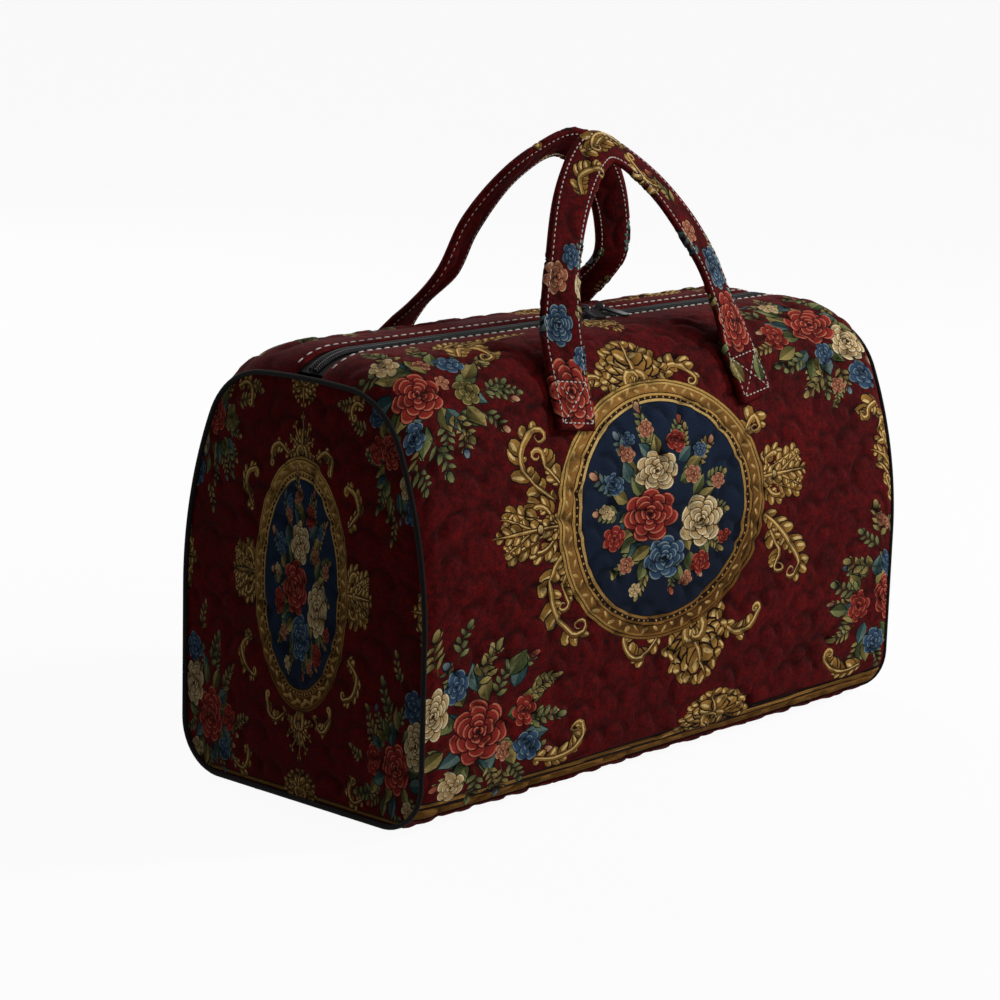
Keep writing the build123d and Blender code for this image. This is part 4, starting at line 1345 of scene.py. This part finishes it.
def strap_surface(frames, t, q, lines):
    """A point of the strap's skin at a way t along and q round its section, where q
    runs from minus seam_turn to seam_turn, with the outer face between -1 and 1."""
    point, across, normal, wide = strap_at(frames, t)
    end = min(t, frames[-1][0] - t)
    thin = tip_share + (1 - tip_share) * ease(end / tip_run)
    flat_half = wide / 2 - edge_round
    half_thick = strap_thick / 2 * thin
    side = 1 if q >= 0 else -1
    q = abs(q)
    if q <= 1.0:
        off, level = q * flat_half, half_thick
    elif q <= edge_turn:
        turn = (q - 1.0) / (edge_turn - 1.0) * math.pi
        off, level = flat_half + edge_round * math.sin(turn), half_thick * math.cos(turn)
    else:
        off, level = (seam_turn - q) * flat_half, -half_thick
    height, crease = relief(t, side * off, lines)
    groove = math.exp(-(((wide / 2 - off - stitch_in) / groove_width) ** 2))
    ending = ease(end / calm_end)
    calm = ease((flat_half - off) / calm_side) * ending
    crown = strap_puff * height * calm + strap_crown * calm - groove_depth * groove * ending
    level += crown if q <= 1.0 else (-crown if q > edge_turn else 0.0)
    place = point + across * (side * off) + normal * level
    return tuple(place * MM), crease * calm


def strap_scroll(t, a, size, hand, up_way):
    """An acanthus curl on a strap, with up_way 1 where the strap climbs along t."""
    curve = ((0, 0), (0.5, 0.22), (1, 0), (1.25, -0.2))
    points = [(t + up_way * size * p, a + hand * size * q) for p, q in curve]
    scroll(points, size * 0.17, 5, hand * up_way, -hand * up_way * size * 0.17, 1.0)


foot_twigs = (
    (20, 10, 26, 0.6), (34, -10, 26, -0.5), (62, 12, 26, 0.2),
    (70, -12, 24, -0.3), (96, 8, 26, 0.4), (110, -9, 26, -0.2),
)


def print_strap(total, front):
    """The cloth of a strap: roses near the feet, plain cloth up the legs and gilt
    scrolls over the top. The left leg is where t is below half the total."""
    apex = total / 2
    for foot, way in ((0.0, 1), (total, -1)):
        left = way == 1
        if front or not left:
            for i, (t, a, reach, turn) in enumerate(foot_twigs):
                heading = turn if left else math.pi - turn
                tones = (olive_leaf, green_leaf, blue_leaf)[i % 3]
                sprig((foot + way * t, a, reach, reach, heading), tones, 7)
        if front and left:
            rose((foot + 26, 1, 25, 17, 1.2), red_rose, seed=11)
            rose((foot + 72, 3, 15, 10, 0.2), blue_rose, seed=12)
            rose((foot + 50, -12, 9, 8, 0.2), blue_rose, small_head, seed=13)
            rose((foot + 104, 6, 12, 9, 0.2), pink_rose, small_head, seed=14)
            rose((foot + 122, -4, 10, 7, 0.2), blue_rose, small_head, seed=15)
            leaf((foot + 92, -14, 20, 12, 0.4), cream_rose)
        elif front:
            leaf((foot - 10, 6, 22, 14, 2.8), green_leaf)
            leaf((foot - 14, -8, 22, 14, 3.4), olive_leaf)
            rose((foot - 58, 0, 24, 14, 1.2), red_rose, seed=16)
            rose((foot - 98, 2, 17, 11, 0.2), blue_rose, seed=17)
            rose((foot - 132, -5, 9, 7, 0.2), pink_rose, small_head, seed=18)
            sprig((foot - 148, 2, 34, 26, math.pi), olive_leaf, 9, red_rose)
        elif not left:
            rose((foot - 60, 0, 22, 14, 0.2), cream_rose, seed=19)
            rose((foot - 112, 0, 24, 15, 0.2), blue_rose, seed=20)
            for k in range(3):
                strap_scroll(foot - 140 - 40 * k, 6 - 12 * (k % 2), 36, 1 if k % 2 else -1, -1)
    for k in range(2):
        strap_scroll(apex - 20 - 34 * k, 7 - 12 * (k % 2), 24, 1 if k % 2 else -1, 1)
        strap_scroll(apex + 20 + 34 * k, 7 - 12 * (k % 2), 24, -1 if k % 2 else 1, -1)


# Each strap's own shape: how far out its legs stand and its top hangs, how it leans
# and rises, how far its top is pushed along, and how far it clears the shoulder.
strap_shapes = (
    ("front", -1, (80.0, 30.6, 1.55, 1.05, 0.0, 0.0)),
    ("back", 1, (60.0, 12.7, 0.6, 0.67, 9.0, 6.0)),
)
strap_burgundy, strap_pitch = "#3c0d11", 2.0
same_corner, tip_reach = 0.05, 0.6
strap_frames_of = {}


for name, facing, shape in strap_shapes:
    frames = strap_frames(strap_line(*shape), facing)
    strap_frames_of[name] = frames
    total = frames[-1][0]
    marks = []
    print_strap(total, facing < 0)
    lines = quilting(total, 60, 17)
    unit = grip_width / 2 - edge_round

    def strap_place(t, a):
        """The strap's skin at a way t along and a round its section, laid flat."""
        return strap_surface(frames, t, a / unit, lines)

    strap_cut = oblong(0, total, -seam_turn * unit, seam_turn * unit)
    strap = cut_cloth(name + "_strap", strap_cut, strap_pitch, strap_place, strap_burgundy)
    body = bmesh.new()
    body.from_mesh(strap.data)
    bmesh.ops.remove_doubles(body, verts=body.verts, dist=same_corner * MM)
    tips = [strap_at(frames, t)[0] * MM for t in (0.0, total)]
    near_tip = foot_width * tip_reach * MM
    open_ends = [
        edge
        for edge in body.edges
        if edge.is_boundary and min((edge.verts[0].co - tip).length for tip in tips) < near_tip
    ]
    bmesh.ops.holes_fill(body, edges=open_ends, sides=0)
    if body.calc_volume(signed=True) < 0:
        bmesh.ops.reverse_faces(body, faces=body.faces)
    body.to_mesh(strap.data)
    body.free()
    strap.data.shade_smooth()
    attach(strap, "bag")
    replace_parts(strap, name + "_handle")

# Stitching: white twisted polyester thread, sewn through the cloth in dashes along
# both edges of the straps on either face, in a crossed box at each foot, and beside
# the zip. A dash is pulled into the cloth at both ends.
strap_run, strap_dash, strap_thread = 4.2, 2.7, 1.0
zip_run, zip_dash, zip_thread, zip_in = 8.0, 5.2, 1.3, 3.2
zip_lift, zip_lean = 0.1, 0.1
run_in, run_lift = 4.0, -0.1
box_near, box_far, box_lift, cross_lift = 4.5, 33.0, 0.1, 0.45
stitch_sides, stitch_flat, stitch_dip = 6, 0.36, 0.35
stitch_rings = ((-0.5, 0.35), (-0.36, 0.85), (0.0, 1.0), (0.36, 0.85), (0.5, 0.35))

# Twisted thread: a warm white with a soft sheen, mottled a little in steps of about
# 0.5 mm, as its plies are.
thread_white = bare_material("white_polyester_thread")
place_on = node(thread_white, "TexCoord").outputs["Object"]
ply = node(thread_white, "TexNoise", {"Vector": place_on, "Scale": 1800.0}).outputs["Fac"]
tone = node(thread_white, "ValToRGB", {"Fac": ply})
dark_end, bright_end = tone.color_ramp.elements
dark_end.color, bright_end.color = linear("#cfc8ba"), linear("#f4f0e6")
twisted = {"Base Color": tone.outputs["Color"], "Roughness": 0.6, "Specular IOR Level": 0.3}
skin = node(thread_white, "BsdfPrincipled", twisted)
node(thread_white, "OutputMaterial", {"Surface": skin.outputs[0]})


def stitch(centre, along, normal, length, width, verts, faces):
    """Adds one dash, given in millimetres, to lists of vertices and faces in metres."""
    along = along.normalized()
    normal = (normal - along * normal.dot(along)).normalized()
    across = along.cross(normal)
    first = len(verts)
    for share, fat in stitch_rings:
        for k in range(stitch_sides):
            turn = 2 * math.pi * k / stitch_sides
            ring = across * math.cos(turn) * width / 2 * fat
            ring += normal * math.sin(turn) * width * stitch_flat * fat
            verts.append((centre + along * (share * length) + ring - normal * (1 - fat) * stitch_dip) * MM)
    last = first + stitch_sides * (len(stitch_rings) - 1)
    for foot in range(first, last, stitch_sides):
        for k in range(stitch_sides):
            a, b = foot + k, foot + (k + 1) % stitch_sides
            faces.append((a, a + stitch_sides, b + stitch_sides, b))
    faces.append(tuple(first + k for k in range(stitch_sides)))
    faces.append(tuple(last + k for k in reversed(range(stitch_sides))))


def stitch_piece(name, verts, faces):
    """Makes one piece of all the dashes of a run."""
    mesh = bpy.data.meshes.new(name)
    mesh.from_pydata(verts, [], faces)
    mesh.shade_smooth()
    piece = added(name, mesh)
    piece.data.materials.append(thread_white)
    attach(piece, "bag")


for name, frames in strap_frames_of.items():
    verts, faces = [], []
    total = frames[-1][0]
    for i in range(int((total - 2 * run_in) / strap_run)):
        t = run_in + (i + 0.5) * strap_run
        point, across, normal, wide = strap_at(frames, t)
        ahead = strap_at(frames, t + 1)[0] - strap_at(frames, t - 1)[0]
        for face in (1, -1):
            for side in (1, -1):
                off = side * (wide / 2 - stitch_in)
                centre = point + across * off + normal * face * (strap_thick / 2 + run_lift)
                stitch(centre, ahead, normal * face, strap_dash, strap_thread, verts, faces)
    for foot, way in ((0.0, 1), (total, -1)):
        corners = []
        for t in (box_near, box_far):
            point, across, normal, wide = strap_at(frames, foot + way * t)
            for side in (-1, 1):
                off = side * (wide / 2 - stitch_in)
                corners.append(point + across * off + normal * (strap_thick / 2 + box_lift))
        near_left, near_right, far_left, far_right = corners
        box_way = far_left - near_left
        sides = ((near_left, near_right), (far_left, far_right))
        cross = ((near_left, far_right), (near_right, far_left))
        for a, b in sides + cross:
            count = int((b - a).length / strap_run)
            for i in range(count):
                spot = a.lerp(b, (i + 0.5) / count)
                share = (spot - near_left).dot(box_way) / box_way.length_squared
                t = foot + way * (box_near + (box_far - box_near) * share)
                point, _, normal, _ = strap_at(frames, t)
                spot = spot + normal * ((point - spot).dot(normal) + strap_thick / 2 + cross_lift)
                stitch(spot, b - a, normal, strap_dash, strap_thread, verts, faces)
    stitch_piece(name + "_strap_stitches", verts, faces)

for side, name in ((-1, "front"), (1, "back")):
    verts, faces = [], []
    seam_s = hem_start + zip_in
    count = int(2 * zip_half / zip_run)
    for i in range(count):
        x = -zip_half + (i + 0.5) * 2 * zip_half / count
        spots = [section_point(x + d, seam_s, zip_lift - hem_dip(seam_s)) for d in (-1, 0, 1)]
        points = [Vector((x + d, side * y, z)) for d, (y, z) in zip((-1, 0, 1), spots)]
        up_out = Vector((0, zip_lean * side, 1))
        stitch(points[1], points[2] - points[0], up_out, zip_dash, zip_thread, verts, faces)
    stitch_piece(name + "_zip_stitches", verts, faces)

size = {"cad": cad_box, "visual": [list(corner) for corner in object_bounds()]}
